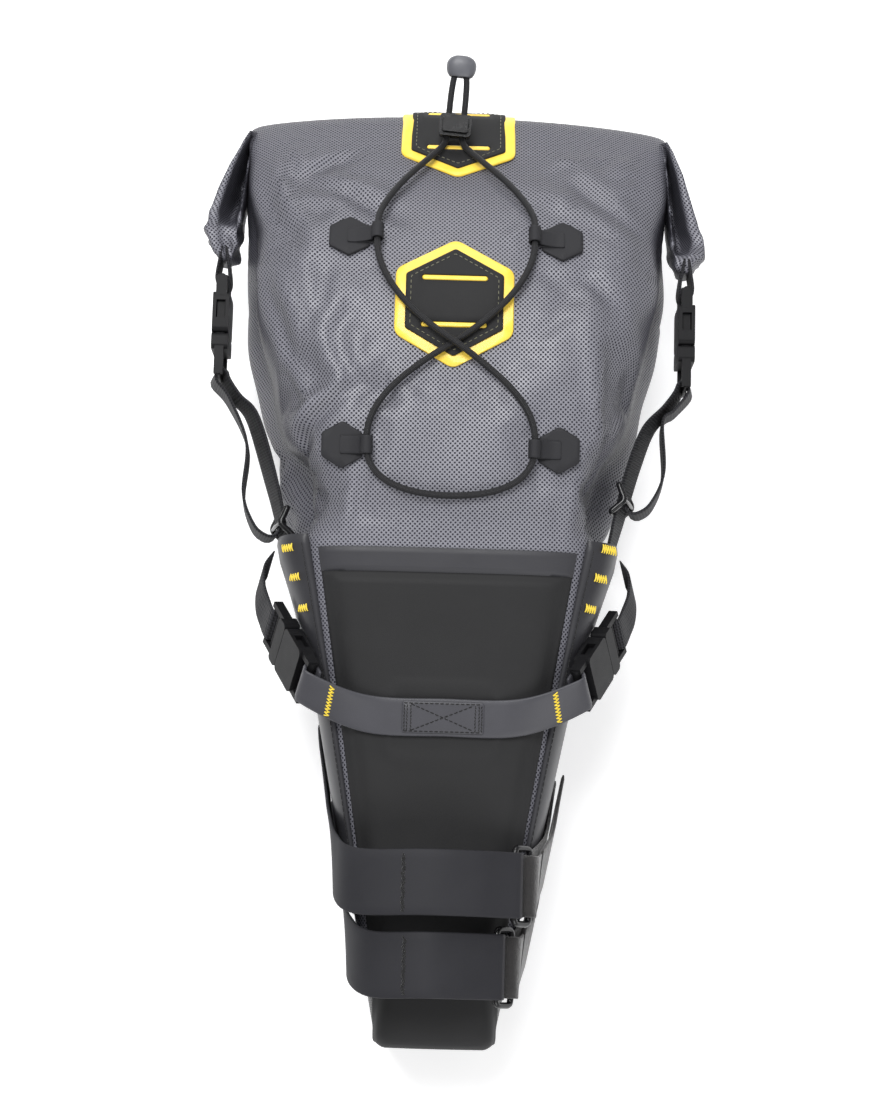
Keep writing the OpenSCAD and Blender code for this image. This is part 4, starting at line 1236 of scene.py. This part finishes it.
def build_seatpost_band(name, y, stitch_x):
    """A band and the double row of stitching across it at about stitch_x."""
    path = even_path(smooth_path(band_points(y), 8), 3.0)
    across = strap_across(path, y, -1)
    band = add_strap("seatpost_strap_" + name, path, across, BAND_W, 1.7, BAND)
    d, v = ribbon_frames(path, across)
    arch = [i for i in range(len(path)) if path[i, 2] > face_z(y) + 20 and path[i, 0] < 0]
    i = min(arch, key=lambda q: abs(path[q, 0] - stitch_x))
    out = facing(v[i], 2)
    t = tangents(path)[i]
    threads = Shell()
    for column in (0.0, 0.7):
        line = [path[i] + out * 0.98 + d[i] * (-BAND_W / 2 + 2 + k * 0.75)
                + t * (column + 0.55 * math.sin(k * 1.9 + column * 3) + 0.3 * math.sin(k * 0.7 + y))
                for k in range(41)]
        threads.stitches(line, 1.7, 0.3, 0.48, out * 0.2)
    return band, add_mesh("seatpost_strap_stitch_" + name, threads, BLACK_THREAD)


def build_ring(name, y):
    a, b = ring_a(y), ring_b(y)
    x = unit(b - a)
    w = np.array([0, 1.0, 0])
    half_l, half_t = RING_SPAN / 2, (BAND_W + 1.6 + RING_BAR) / 2
    corners = [(-half_l, -half_t), (half_l, -half_t), (half_l, half_t), (-half_l, half_t)]
    outline = rounded_polygon(corners, 3.2, 6)
    path = [(a + b) / 2 + x * p + w * q for p, q in even_path(looped(outline), 1.2)[:-1]]
    return add_mesh("seatpost_loop_ring_" + name, Shell().tube(path, 1.75, 12, closed=True), GLOSS)


def ring_arc(centre, r, angles):
    """Points round a ring's bar."""
    return [centre + r * np.array([math.cos(t), 0, math.sin(t)]) for t in np.radians(angles)]


def peel_point(y):
    """Where the hook-and-loop strap becomes its tail."""
    return ring_b(y) + [5.4, 3.6, -9.6]


def hook_points(y):
    """The hook-and-loop strap: up the right side, round the ring and down to the peel line."""
    b, f = ring_b(y), face_z(y)
    arc = ring_arc(b, RING_TURN + 0.5, [205, 160, 115, 70, 25, -20])
    side = [[side_x(y + d), y + d, f - drop] for d, drop in ((46, 62), (32, 42), (14, 20))]
    return side + [b + [0.4, 4, -9]] + arc + [peel_point(y) + [-0.4, -1.4, 2.4]]


def tail_points(y):
    """Its tail, which lies over the strap."""
    f, g, p = face_z(y), TAIL_GAP, peel_point(y)
    side = [[side_x(y + d) + g, y + d, f - drop] for d, drop in ((16, 22), (34, 36), (48, 46))]
    return [p, p + [0.6, 2.4, -3.6]] + side


def build_hook_strap(name, y):
    pieces = []
    for part, points, t in (("strap_", hook_points(y), 1.6), ("tail_", tail_points(y), 2.0)):
        path = even_path(smooth_path(points, 8), 2.5)
        across = strap_across(path, y, 1)
        pieces.append(add_strap("hook_and_loop_" + part + name, path, across, BAND_W - 2, t, FLEECE))
    return pieces


# ---------- light patches ----------

HEX_R = 63 / math.sqrt(3)        # corner radii of the base and of the face, from their widths
FACE_R = 52 / math.sqrt(3)
PATCH_Y = 385.0
SLOT_L = 35.0
SLOT_W = 3.0
SLOT_AT = (-13.0, 13.0)
FILM_LEVELS = (0.4, 1.6)         # lower and upper height of the base, of its strips and of the face
STRIP_LEVELS = (1.5, 2.85)
FACE_LEVELS = (1.65, 2.8)
REAR_S = 39.0                    # how far down the roll the rear patch's centre is


def above_top(x, y, h):
    """A point h above the top face, square to its slope at station y."""
    a = top_slope(y)
    return (x, y - h * math.sin(a), float(top_z(y)) + h * math.cos(a))


def on_top_face(x, s, h):
    """A point s mm along the top face from the patch's centre, x across, h above it."""
    return above_top(x, PATCH_Y + s * math.cos(top_slope(PATCH_Y)), h)


def on_roll(x, s, h):
    """A point on the roll's back; s runs from the rear patch's centre towards the front."""
    down = REAR_S - s
    if down < 0:
        return above_top(x, MOUTH_Y + 0.5 + down * math.cos(ROLL_HEADING), h)
    y, z = roll_point(down)
    a = roll_angle(down)
    return (x, y - h * math.sin(a) + float(roll_bulge(x, down)), z + h * math.cos(a))


def build_light_patch(name, place):
    """A yellow base that shows round the black face and through its two slots."""
    base = plate(Shell(), rounded_polygon(hexagon(HEX_R), 7, 6), [], place, *FILM_LEVELS, 5, 0.5)
    for at in SLOT_AT:
        plate(base, stadium(at, SLOT_L - 0.3, SLOT_W - 0.3), [], place, *STRIP_LEVELS, 2, 0.5)
    film = add_mesh("light_patch_film_" + name, base, YELLOW_FILM, sharp=50)
    slots = [stadium(at, SLOT_L, SLOT_W) for at in SLOT_AT]
    face = plate(Shell(), rounded_polygon(hexagon(FACE_R), 2.2, 4), slots, place, *FACE_LEVELS)
    cover = add_mesh("light_patch_cover_" + name, face, PATCH, sharp=50)
    ring = looped(rounded_polygon(hexagon(FACE_R - 3.2), 1.5, 3))
    line = [place(x, y, 2.85) for x, y in even_path(ring, 1.0)]
    return film, cover, sew("light_patch_stitching_" + name, PATCH_THREAD, line, 1.5, 1.7, 0.22)


# ---------- elastic cord ----------

ANCHOR_X = (44.0, 42.0)          # where the cord runs at the front and the rear anchors
ANCHOR_Y = (307.0, 422.0)
CROSS_Y = 362.0                  # where the cord crosses itself
STRAND_Y = 430.0                 # where its two strands leave the rear anchors
TAB_X = 57.0                     # centre of a tab, and of the cloth that it holds still
TAB_HOLD_X = 55.0
TAB_R = 12.6
LOOP_L = 9.6
LOCK_P = np.array([-2.5, 488.5, 110.5])
LOCK_AXIS = unit([0.075, 0.97, 0.2])      # along the tails
LOCK_SIDE = unit(np.cross([0, -0.2, 0.97], LOCK_AXIS))   # to the left
LOCK_UP = np.cross(LOCK_AXIS, LOCK_SIDE)
STRAND_X = 4.2                   # from the lock's centre line to a strand
STRAND_Z = -1.6
TAIL_L = 38.0                    # how far the tails reach behind LOCK_P


def on_bag(x, y, rise):
    """The cord's centre on the top face, raised a little more by rise."""
    return np.array([x, y, float(top_z(y)) + CORD_H + rise])


def crossing_lift(p):
    """How far the upper strand climbs over the lower one where the cord crosses itself."""
    return 3.4 * math.exp(-((p[0] ** 2 + (p[1] - CROSS_Y) ** 2) / 14 ** 2))


def bag_cord_points():
    """The cord on the top face: down from the left rear anchor to the front, and its mirror image back."""
    half = [[(-42, 422), (-43, 398), (-24, 378), (0, CROSS_Y)],
            [(0, CROSS_Y), (24, 346), (46, 330), (44, 307)],
            [(44, 307), (44.5, 288), (24, 281), (0, 281)]]
    plan = [bezier(b, k / 12) for b in half for k in range(12)]
    first = [on_bag(p[0], p[1], crossing_lift(p)) for p in plan] + [on_bag(0, 281, 0)]
    second = [on_bag(-p[0], p[1], -crossing_lift(p) / 5) for p in reversed(plan)]
    return first, second


def strand_points(s):
    """One strand from its tail's end, through the lock, to the last anchor: s is 1 for the left one."""
    e = LOCK_P + s * STRAND_X * LOCK_SIDE - 1.0 * LOCK_AXIS + STRAND_Z * LOCK_UP
    out = []
    for k in np.linspace(0.12, 0.95, 12):
        p = bezier([(e[0], e[1]), (e[0], e[1] - 8), (math.copysign(42, e[0]), 450),
                    (math.copysign(42, e[0]), STRAND_Y)], k)
        z = float(top_z(p[1])) + CORD_H + 1.8 * min(max((p[1] - 445) / 15, 0), 1)
        out.append(np.array([p[0], p[1], z]))
    tail = []
    for k in np.linspace(TAIL_L - 2, 0, 9):
        spread = STRAND_X - 1.9 * (k / TAIL_L) ** 6
        tail.append(LOCK_P + s * spread * LOCK_SIDE + k * LOCK_AXIS + STRAND_Z * LOCK_UP)
    return tail + [e] + out


def build_cord():
    first, second = bag_cord_points()
    points = strand_points(1) + first + second + strand_points(-1)[::-1]
    path = even_path(smooth_path(points, 4), 1.8)
    return add_mesh("elastic_cord", Shell().tube(path, CORD_D / 2, 12), CORD)


def at_anchor(i, right):
    """Places a point given from the centre line at an anchor's row: x is negative for both sides."""
    y0 = ANCHOR_Y[i]
    a = top_slope(y0)
    origin = np.array([0, y0, float(top_z(y0))])

    def place(x, y, h):
        p = origin + [x, y * math.cos(a) - h * math.sin(a), y * math.sin(a) + h * math.cos(a)]
        return mirror(p, right)
    return place


def build_anchors():
    """Hexagonal tabs, each with a strip that folds over the cord."""
    tabs, loops = Shell(), Shell()
    outline = rounded_polygon([(x - TAB_X, y) for x, y in hexagon(TAB_R)], 2.4, 4)
    for i in (0, 1):
        cx, h, r = -ANCHOR_X[i], CORD_H, 2.9
        arc = np.radians([155, 110, 60, 10, -40, -90])
        points = [(-TAB_X - 1, 2.2), (-TAB_X + 4, 2.3), (cx - 3.4, h - 1.2)]
        points += [(cx + r * math.cos(a), h + r * math.sin(a)) for a in arc]
        points += [(cx - 4.2, 2.1), (-TAB_X + 3, 2.0)]
        for right in (False, True):
            place = at_anchor(i, right)
            plate(tabs, outline, [], place, 0.35, 1.7, round_edge=0.5)
            path = np.array([place(x, 0, z) for x, z in smooth_path(points, 5)])
            ribbon(loops, path, unit(place(0, 1, 0) - place(0, 0, 0)), LOOP_L, 0.9)
    plates = add_mesh("cord_anchor_tab_plates", tabs, TAB, sharp=50)
    return plates, add_mesh("cord_anchor_loop_strips", loops, TAB, sharp=70)


def build_end_cap():
    # along the tails, half width, half height
    shape = [(34.2, 4.0, 2.2), (33.2, 5.2, 3.0), (33.4, 6.2, 3.6), (35.2, 7.5, 4.3), (38, 8.2, 4.8),
             (41, 8.0, 4.9), (43.2, 6.6, 4.3), (44.6, 4.2, 3.0), (45, 1.6, 1.2)]
    rows = []
    for x, w, h in smooth_path(shape, 4):
        a = np.linspace(0, 2 * math.pi, 28, endpoint=False)
        y = w * spow(np.cos(a), 0.75)
        z = h * spow(np.sin(a), 0.8)
        centre = LOCK_P + x * LOCK_AXIS + STRAND_Z * LOCK_UP
        rows.append(centre + y[:, None] * LOCK_SIDE + z[:, None] * LOCK_UP)
    return add_mesh("cord_end_cap_moulding", Shell().grid(rows), CAP)


def build_spring():
    """The coil under the lock's button."""
    t = np.linspace(0, 1, 90)
    a = 2 * math.pi * 3.2 * t
    rise = 2.55 + 2.1 * smoothstep(0.08, 0.92, t)
    path = [LOCK_P + (6 + 2 * math.cos(q)) * LOCK_AXIS + 2 * math.sin(q) * LOCK_SIDE + z * LOCK_UP
            for q, z in zip(a, rise)]
    return add_mesh("cord_lock_coil", Shell().tube(path, 0.32, 8), SPRING)


# ---------- compression straps ----------

END_X = TAIL_W / 2 + 2.4
ROLL_END_T = 20.0                # thickness of a folded roll end
ROLL_BUCKLE_X = -END_X - ROLL_END_T / 2 + 1.5
ROLL_MOUTH_Y = 378.0             # the mouth of the socket
ROLL_BUCKLE_Z = 85.0
PLUG_BAR_Y = ROLL_MOUTH_Y - PLUG_BAR_X
STRAP_OFF = 4.7                  # from the bag's side to the strap
SLIDER_Y = {False: 273.0, True: 291.0}   # left and right
SLIDER_W = 24.6


def side_point(y, off):
    """A point off the bag's left side at the buckle's height."""
    return np.array([-float(half_w(y)) - off, y, ROLL_BUCKLE_Z])


def webbing_points(y):
    """The strap from the wing through the slider at y, round the plug's bar and back in a loose loop."""
    b, r = np.array([ROLL_BUCKLE_X, PLUG_BAR_Y, ROLL_BUCKLE_Z]), PLUG_TURN
    flat = [side_point(at, STRAP_OFF) for at in (263.4, y, y + 21)] + [side_point(332, STRAP_OFF + 2)]
    turn_round = [(9.5, -12), (3.6, -3), (r, 0.4), (0, r), (-r, 0.4), (-r, -4), (5.6, -14)]
    loop = [(44, 13.5), (16, 22), (-1, 20.5), (-7, 15), (-6.4, 10), (-2.4, STRAP_OFF + 2.6)]
    return flat + [b + [u, v, 0] for u, v in turn_round] + [side_point(y + d, off) for d, off in loop]


def build_compression_webbing(right):
    path = even_path(smooth_path(webbing_points(SLIDER_Y[right]), 10), 2.2)
    twist = 0.22 + 0.2 * np.sin(np.linspace(0, 1, len(path)) * math.pi * 2)
    across = np.stack([twist, np.zeros(len(path)), np.ones(len(path))], -1)
    return add_strap("side_webbing_" + side_name(right), path, across, 20, 1.6, WEBBING, right)


def build_slider(right):
    """A ladder slider: three bars, the middle one raised, and a rail along each of their ends."""
    y = SLIDER_Y[right]
    p = side_point(y, STRAP_OFF)
    along = unit(side_point(y + 6, STRAP_OFF) - side_point(y - 6, STRAP_OFF))
    up = unit([0.25, 0, 1.0])
    out = -facing(unit(np.cross(up, along)), 0)
    w = SLIDER_W / 2
    low, high = -2.6, 2.6                        # heights of the end bars and of the middle one
    shell = Shell()
    parts = [([(x, -w, h), (x, 0, h + bow), (x, w, h)], 1.3)
             for x, h, bow in ((-8, low, -0.2), (0, high, 0.4), (8, low, -0.2))]
    for v in (-w, w):
        rail = [(-8, v, low), (-4.5, v, -0.2), (0, v, high), (4.5, v, -0.2), (8, v, low)]
        parts.append((smooth_path(rail, 4), 1.7))
    for points, r in parts:
        line = even_path(np.array(points, float), 1.0)
        world = np.array([p + along * a + up * b + out * c for a, b, c in line])
        shell.tube(mirror(world, right), r, 10)
    return add_mesh("strap_slider_frame_" + side_name(right), shell, GLOSS)


# ---------- roll ends ----------

def ear_section(t, right):
    """Centre line, half width, top and depth of the fold of a roll end, t from the corner to the tip."""
    # t, outer x, inner x, y, top z, low z, fold depth
    start = [[0.00, -117.5, -112.5, 494, 96.0, 66.0, 0.4], [0.07, -120.0, -113.5, 488, 99.5, 62.0, 16.0]]
    left = [[0.25, -127.0, -115.5, 473, 102.0, 60.0, 30.0], [0.45, -133.0, -117.0, 459, 101.0, 60.0, 32.0],
            [0.62, -137.0, -118.5, 447, 100.0, 61.0, 20.0], [0.75, -139.5, -119.5, 438, 98.0, 63.0, 5.0],
            [0.86, -135.0, -120.5, 430, 95.0, 66.5, 2.0], [0.96, -132.0, -122.0, 424, 92.5, 70.0, 0.8]]
    tri = [[0.25, -125.5, -115.0, 473, 103.0, 60.0, 26.0], [0.45, -130.0, -116.5, 458, 102.0, 60.0, 27.0],
           [0.62, -134.5, -118.0, 445, 100.0, 61.0, 24.0], [0.75, -138.5, -119.0, 434, 98.0, 63.0, 16.0],
           [0.80, -138.0, -120.0, 430, 94.0, 65.0, 3.0], [0.88, -133.5, -121.0, 427, 93.5, 68.0, 1.5],
           [0.96, -132.0, -122.0, 423, 92.0, 71.0, 0.8]]
    key = np.array(start + (tri if right else left) + [[1.00, -131.0, -124.0, 421, 90.0, 74.0, 0.3]])
    return np.array([np.interp(t, key[:, 0], key[:, k]) for k in range(1, 7)])


def build_roll_end(right):
    """The end of the roll, folded forwards: a pouch of cloth with an open fold, flattening to its tip."""
    rows = []
    cloth = 1.5
    for t in np.linspace(0, 1, 56):
        ox, ix, y, top, low, depth = ear_section(t, right)
        w = ix - ox
        wall = min(cloth, w * 0.3)
        inner_drop = 3.0 * (1 - t)
        # the fold: up the outer wall, over its rim, down into the fold and up to the inner rim
        out_line = [(ox + 1.5, low), (ox + 0.3, low + 4), (ox, (low + top) / 2), (ox + 0.4, top - 3),
                    (ox + 1.0, top - 0.6), (ox + wall, top), (ox + wall + 0.8, top - 0.8)]
        start = 0.42 if right else 0.3            # the outer share of the fold lies flat
        fold = []
        for k in np.linspace(0.12, 0.94, 14):
            deep = np.clip((k - start) / (1 - start), 0, 1)
            dip = depth * math.sin(math.pi * deep) ** 0.8 + inner_drop * k
            fold.append((ox + wall + (w - 2 * wall) * k, top - dip))
        inner = [(ix - 0.8, top - inner_drop - 0.6), (ix, top - inner_drop - 3), (ix, (low + top) / 2),
                 (ix - 0.5, low + 4), (ix - 2, low)]
        under = [(ox + 1.5 + (w - 3.5) * k, low - 1.2 * math.sin(math.pi * k)) for k in (0.8, 0.5, 0.2)]
        section = even_path(np.array(out_line + fold + inner + under + out_line[:1]), 0.9)
        section = even_ring(section, 72)
        x, z = section[:, 0], section[:, 1]
        bend = 0.35 * (x - ox)                       # the section leans back towards the corner
        rows.append(np.stack([x, y + bend * (1 - t) * 0.6, z], -1))
    rows = np.array(rows)
    seed = 5.0 if right else 2.0
    x, y, z = rows[..., 0], rows[..., 1], rows[..., 2]
    tip = smoothstep(452, 432, y)
    crease = (1.2 * wobble(x / 4.2 + z / 9, y / 6.5, seed) * (0.25 + 0.75 * tip)
              + 1.3 * np.sin((x * 0.8 + z * 0.35 + y * 0.55) * 0.62 + seed) * tip)
    crease = crease * (0.5 if right else 1.0)
    ends = np.minimum(np.arange(len(rows)), np.arange(len(rows))[::-1])[:, None]
    rows = rows + ring_normals(rows) * (crease * np.clip(ends / 3, 0, 1))[..., None]
    shell = Shell().grid(mirror(rows, right), centre=20)
    return add_mesh("roll_end_" + side_name(right), shell, WEAVE, sharp=75)


def build_roll_tab(right):
    """The webbing that holds the socket: out of the roll, round the socket's bar and back."""
    y = ROLL_MOUTH_Y + BAR_X
    end_y = MOUTH_Y - 36
    pairs = [[1.1, end_y + 4 - y], [3.3, 5], [BAR_TURN, 0], [2.4, -2.4], [0, -BAR_TURN], [-2.4, -2.4],
             [-BAR_TURN, 0], [-3.3, 5], [-1.1, end_y + 4 - y]]
    points = [[ROLL_BUCKLE_X + a, y + b, ROLL_BUCKLE_Z] for a, b in pairs]
    path = smooth_path(points, 5)
    return add_strap("roll_tab_webbing_" + side_name(right), path, [0, 0, 1], 19, 1.5, WEBBING, right)


HEM_S = (ROLL_S1 + 26, ROLL_S1 + 44)     # down the roll's back
HEM_X = 108.0
SEAM_Y = (300, 452)
SEAM_SHARE = 0.74                # of the half width


def build_roll_hem():
    """The last layer of the roll ends in a hem across the back."""
    cols = np.linspace(-1, 1, 70)
    ss = np.linspace(*HEM_S, 10)
    wave = 1.6 * wobble(cols * 4, 0.3, 2.0)
    base = np.array([[on_roll(c * HEM_X, REAR_S - (s + w), 0) for c, w in zip(cols, wave)] for s in ss])
    normal = facing_normals(base, 35, 1)
    r = edge_round(len(ss), len(cols), 2.0, 3.1, 2.2)
    hem = add_mesh("roll_hem", sheet(base, normal, 0.3 + 1.5 * r, -1.2), WEAVE, sharp=60)
    line = [on_roll(c * (HEM_X - 4), REAR_S - (HEM_S[0] + 4 + w), 1.9) for c, w in zip(cols, wave)]
    return hem, sew("roll_hem_stitching", GREY_THREAD, line, 2.4, 1.3, 0.26)


def build_side_seams(skin):
    """Faint rows of stitching along both sides of the top face, laid on the settled cloth."""
    threads = Shell()
    for s in (-1, 1):
        line = []
        for y in np.linspace(*SEAM_Y, 150):
            x = s * (float(half_w(y)) * SEAM_SHARE + 0.4 * math.sin(y / 9))
            hit, place, _, _ = skin.ray_cast(Vector(station(x, y, 260)), Vector((0, 0, -1)))
            if hit:
                line.append([x, y, place.z * 1000 + 0.12])
        threads.stitches(line, 0.9, 2.6, 0.26)
    return add_mesh("side_seam_stitching", threads, GREY_THREAD)


# ---------- CAD nodes that show as they are ----------

def finish_cad(names, material, bevel, segments=3):
    """CAD nodes that show as they are, with their edges rounded by bevel mm."""
    for name in names:
        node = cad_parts[name]
        node.data.materials.clear()
        node.data.materials.append(material)
        mod = node.modifiers.new("rounded edges", "BEVEL")
        mod.width = bevel / 1000
        mod.segments = segments
        mod.limit_method = "ANGLE"
        mod.angle_limit = math.radians(35)
        mod.harden_normals = True
        node.data.shade_smooth()
        node.data.set_sharp_from_angle(angle=math.radians(40))


# ---------- assembly ----------

def dress_bag(skin):
    stretch(skin, ("bag", "roll"), (0, 432, 100), (0, 462, 100), "coated_weave", "bag_shell")

    dress(build_front_panel(), "bag", "moulded_panel", "front_panel")
    dress(build_panel_header(), "bag", "panel_header", "panel_header")
    cloth, stitching = build_underside()
    dress(cloth, "bag", "underside", "underside_panel")
    dress(stitching, "bag", "underside")


def dress_sides():
    for right, side in SIDES:
        wing, stitching = build_wing(right)
        dress(wing, "bag", "rubberised_fabric", "wing_" + side)
        dress(stitching, "bag", "strap_laminate")
        dress(build_wing_bartacks(right), "bag", "yellow_thread", "wing_bartacks_" + side)
        dress(build_rail_webbing(right), "rail_plug_" + side, "webbing", "rail_webbing_" + side)
        stretch(build_compression_webbing(right), ("bag", "roll_plug_" + side), (0, 322, 85), (0, 350, 85),
                "webbing", "compression_webbing_" + side)
        dress(build_slider(right), "slider_" + side, "buckle_plastic", "strap_slider_" + side)
        dress(build_roll_tab(right), "roll", "webbing", "roll_tab_" + side)
        dress(build_roll_end(right), "roll", "coated_weave", *(["roll_closure"] if right else []))


def dress_rail_strap():
    strap, patch, box, tacks = build_rail_strap()
    dress(strap, "bag", "strap_laminate", "rail_strap")
    dress(patch, "bag", "strap_laminate", "rail_strap_patch")
    dress(box, "bag", "strap_laminate")
    dress(tacks, "bag", "yellow_thread", "rail_strap_bartacks")


def dress_seatpost_straps():
    for name, y, stitch_x in (("upper", 81.0, -17.0), ("lower", 39.0, -18.0)):
        band, stitching = build_seatpost_band(name, y, stitch_x)
        dress(band, "bag", "strap_laminate", "seatpost_band_" + name)
        dress(stitching, "bag", "strap_laminate")
        dress(build_ring(name, y), "ring_" + name, "buckle_plastic", "seatpost_ring_" + name)
        strap, tail = build_hook_strap(name, y)
        x, _, z = ring_b(y)
        stretch(strap, ("bag", "ring_" + name), (x, y, z - 11), (x, y, z - 3),
                "hook_and_loop", "hook_strap_" + name)
        dress(tail, "hook_flap_" + name, "hook_and_loop", "hook_tail_" + name)


def dress_light_patches():
    for name, place, body in (("top", on_top_face, "bag"), ("rear", on_roll, "roll")):
        film, cover, stitching = build_light_patch(name, place)
        dress(film, body, "yellow_film", "light_patch_base_" + name)
        dress(cover, body, "patch_rubber", "light_patch_face_" + name)
        dress(stitching, body, "patch_rubber")


def dress_cord():
    tabs, loops = build_anchors()
    dress(tabs, "bag", "patch_rubber", "cord_anchor_tabs")
    dress(loops, "bag", "patch_rubber", "cord_anchor_loops")
    stretch(build_cord(), ("bag", "roll"), (0, 430, 120), (0, 476, 120),
            "elastic_cord", "bungee_cord", "cord_tails")
    dress(build_end_cap(), "roll", "cap_plastic", "cord_end_cap")
    coil = dress(build_spring(), "cord_lock", "spring_steel", "cord_lock_spring")
    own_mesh(coil)


def dress_cloth_details(skin):
    """The roll's hem and the rows of stitching on the skin."""
    hem, stitching = build_roll_hem()
    dress(hem, "roll", "coated_weave")
    dress(stitching, "roll", "coated_weave")
    dress(build_side_seams(skin), "bag", "coated_weave")


def finish_hardware():
    for strap in ("rail", "roll"):
        for half in ("socket", "plug"):
            finish_cad([f"{strap}_buckle_{half}_left", f"{strap}_buckle_{half}_right"], BUCKLE, 1.4, 4)
    finish_cad(["cord_lock_body"], GLOSS, 1.6, 4)
    finish_cad(["cord_lock_button"], GLOSS, 0.9)
    finish_cad(["nose_stiffener", "roll_stiffener"], STIFFENER, 0.2, 2)


# ---------- floor, light and camera ----------

FLOOR_R = 30.0                   # the stage, the lights and the camera are in metres
FLOOR_GAP = -0.0004
FLOOR_GLOW = 0.42
WORLD_LIGHT = 0.36               # the backdrop is white to the camera, and lights the bag with less
LIGHTS = (                       # name, place, aim, size, power
    ("key", (-0.35, 0.75, 2.0), (0.0, 0.05, 0.1), 0.9, 34),
    ("fill", (0.5, -1.6, 1.4), (0.0, 0.0, 0.05), 1.4, 20),
    ("rim", (-0.1, 1.9, 1.2), (0.0, 0.2, 0.1), 1.0, 14),
)
CAMERA_TARGET = (-0.004, 0.076, 0.120)
CAMERA_DISTANCE = 1.3
CAMERA_ELEVATION = math.radians(80)
CAMERA_ROLL = math.radians(1.6)
CAMERA_LENS = 80.27


def build_floor():
    mesh = bpy.data.meshes.new("studio_floor")
    a = np.radians(np.arange(0, 360, 7.5))
    rim = [(FLOOR_R * math.cos(q), FLOOR_R * math.sin(q), FLOOR_GAP) for q in a]
    mesh.from_pydata(rim, [], [tuple(range(len(rim)))])
    floor = bpy.data.objects.new("studio_floor", mesh)
    bpy.context.scene.collection.objects.link(floor)
    f = Finish("studio_paper", rough=0.9, specular=0.1)
    f.colour((0.9, 0.9, 0.905, 1))
    f.bsdf.inputs["Emission Color"].default_value = (1, 1, 1, 1)
    f.bsdf.inputs["Emission Strength"].default_value = FLOOR_GLOW
    mesh.materials.append(f.mat)


def build_lights():
    """A pale world and three soft lamps."""
    world = bpy.data.worlds.new("studio")
    bpy.context.scene.world = world
    world.use_nodes = True
    nodes = world.node_tree.nodes
    background = nodes["Background"]
    background.inputs["Color"].default_value = (1, 1, 1, 1)
    path = nodes.new("ShaderNodeLightPath")
    strength = nodes.new("ShaderNodeMapRange")
    strength.inputs["To Min"].default_value = WORLD_LIGHT
    strength.inputs["To Max"].default_value = 1.0
    world.node_tree.links.new(path.outputs["Is Camera Ray"], strength.inputs["Value"])
    world.node_tree.links.new(strength.outputs["Result"], background.inputs["Strength"])

    for name, place, aim, size, power in LIGHTS:
        light = bpy.data.lights.new(name, "AREA")
        light.energy = power
        light.size = size
        obj = bpy.data.objects.new(name, light)
        obj.location = place
        obj.rotation_euler = (Vector(aim) - Vector(place)).to_track_quat("-Z", "Y").to_euler()
        bpy.context.scene.collection.objects.link(obj)


def build_camera():
    c, s = math.cos(CAMERA_ELEVATION), math.sin(CAMERA_ELEVATION)
    back = Vector((0, -c, s))
    level = Vector((1, 0, 0))
    upright = Vector((0, s, c))
    right = level * math.cos(CAMERA_ROLL) + upright * math.sin(CAMERA_ROLL)
    up = upright * math.cos(CAMERA_ROLL) - level * math.sin(CAMERA_ROLL)
    data = bpy.data.cameras.new("photo_camera")
    data.lens = CAMERA_LENS
    data.sensor_width = 36
    data.sensor_fit = "AUTO"
    data.clip_end = 50
    camera = bpy.data.objects.new("photo_camera", data)
    place = Vector(CAMERA_TARGET) + back * CAMERA_DISTANCE
    camera.matrix_world = Matrix.Translation(place) @ Matrix((right, up, back)).transposed().to_4x4()
    bpy.context.scene.collection.objects.link(camera)
    bpy.context.scene.camera = camera


bag_skin = build_bag_skin()
dress_bag(bag_skin)
dress_sides()
dress_rail_strap()
dress_seatpost_straps()
dress_light_patches()
dress_cord()
dress_cloth_details(bag_skin)
finish_hardware()
build_floor()
build_lights()
build_camera()
bpy.context.scene.view_settings.view_transform = "Standard"
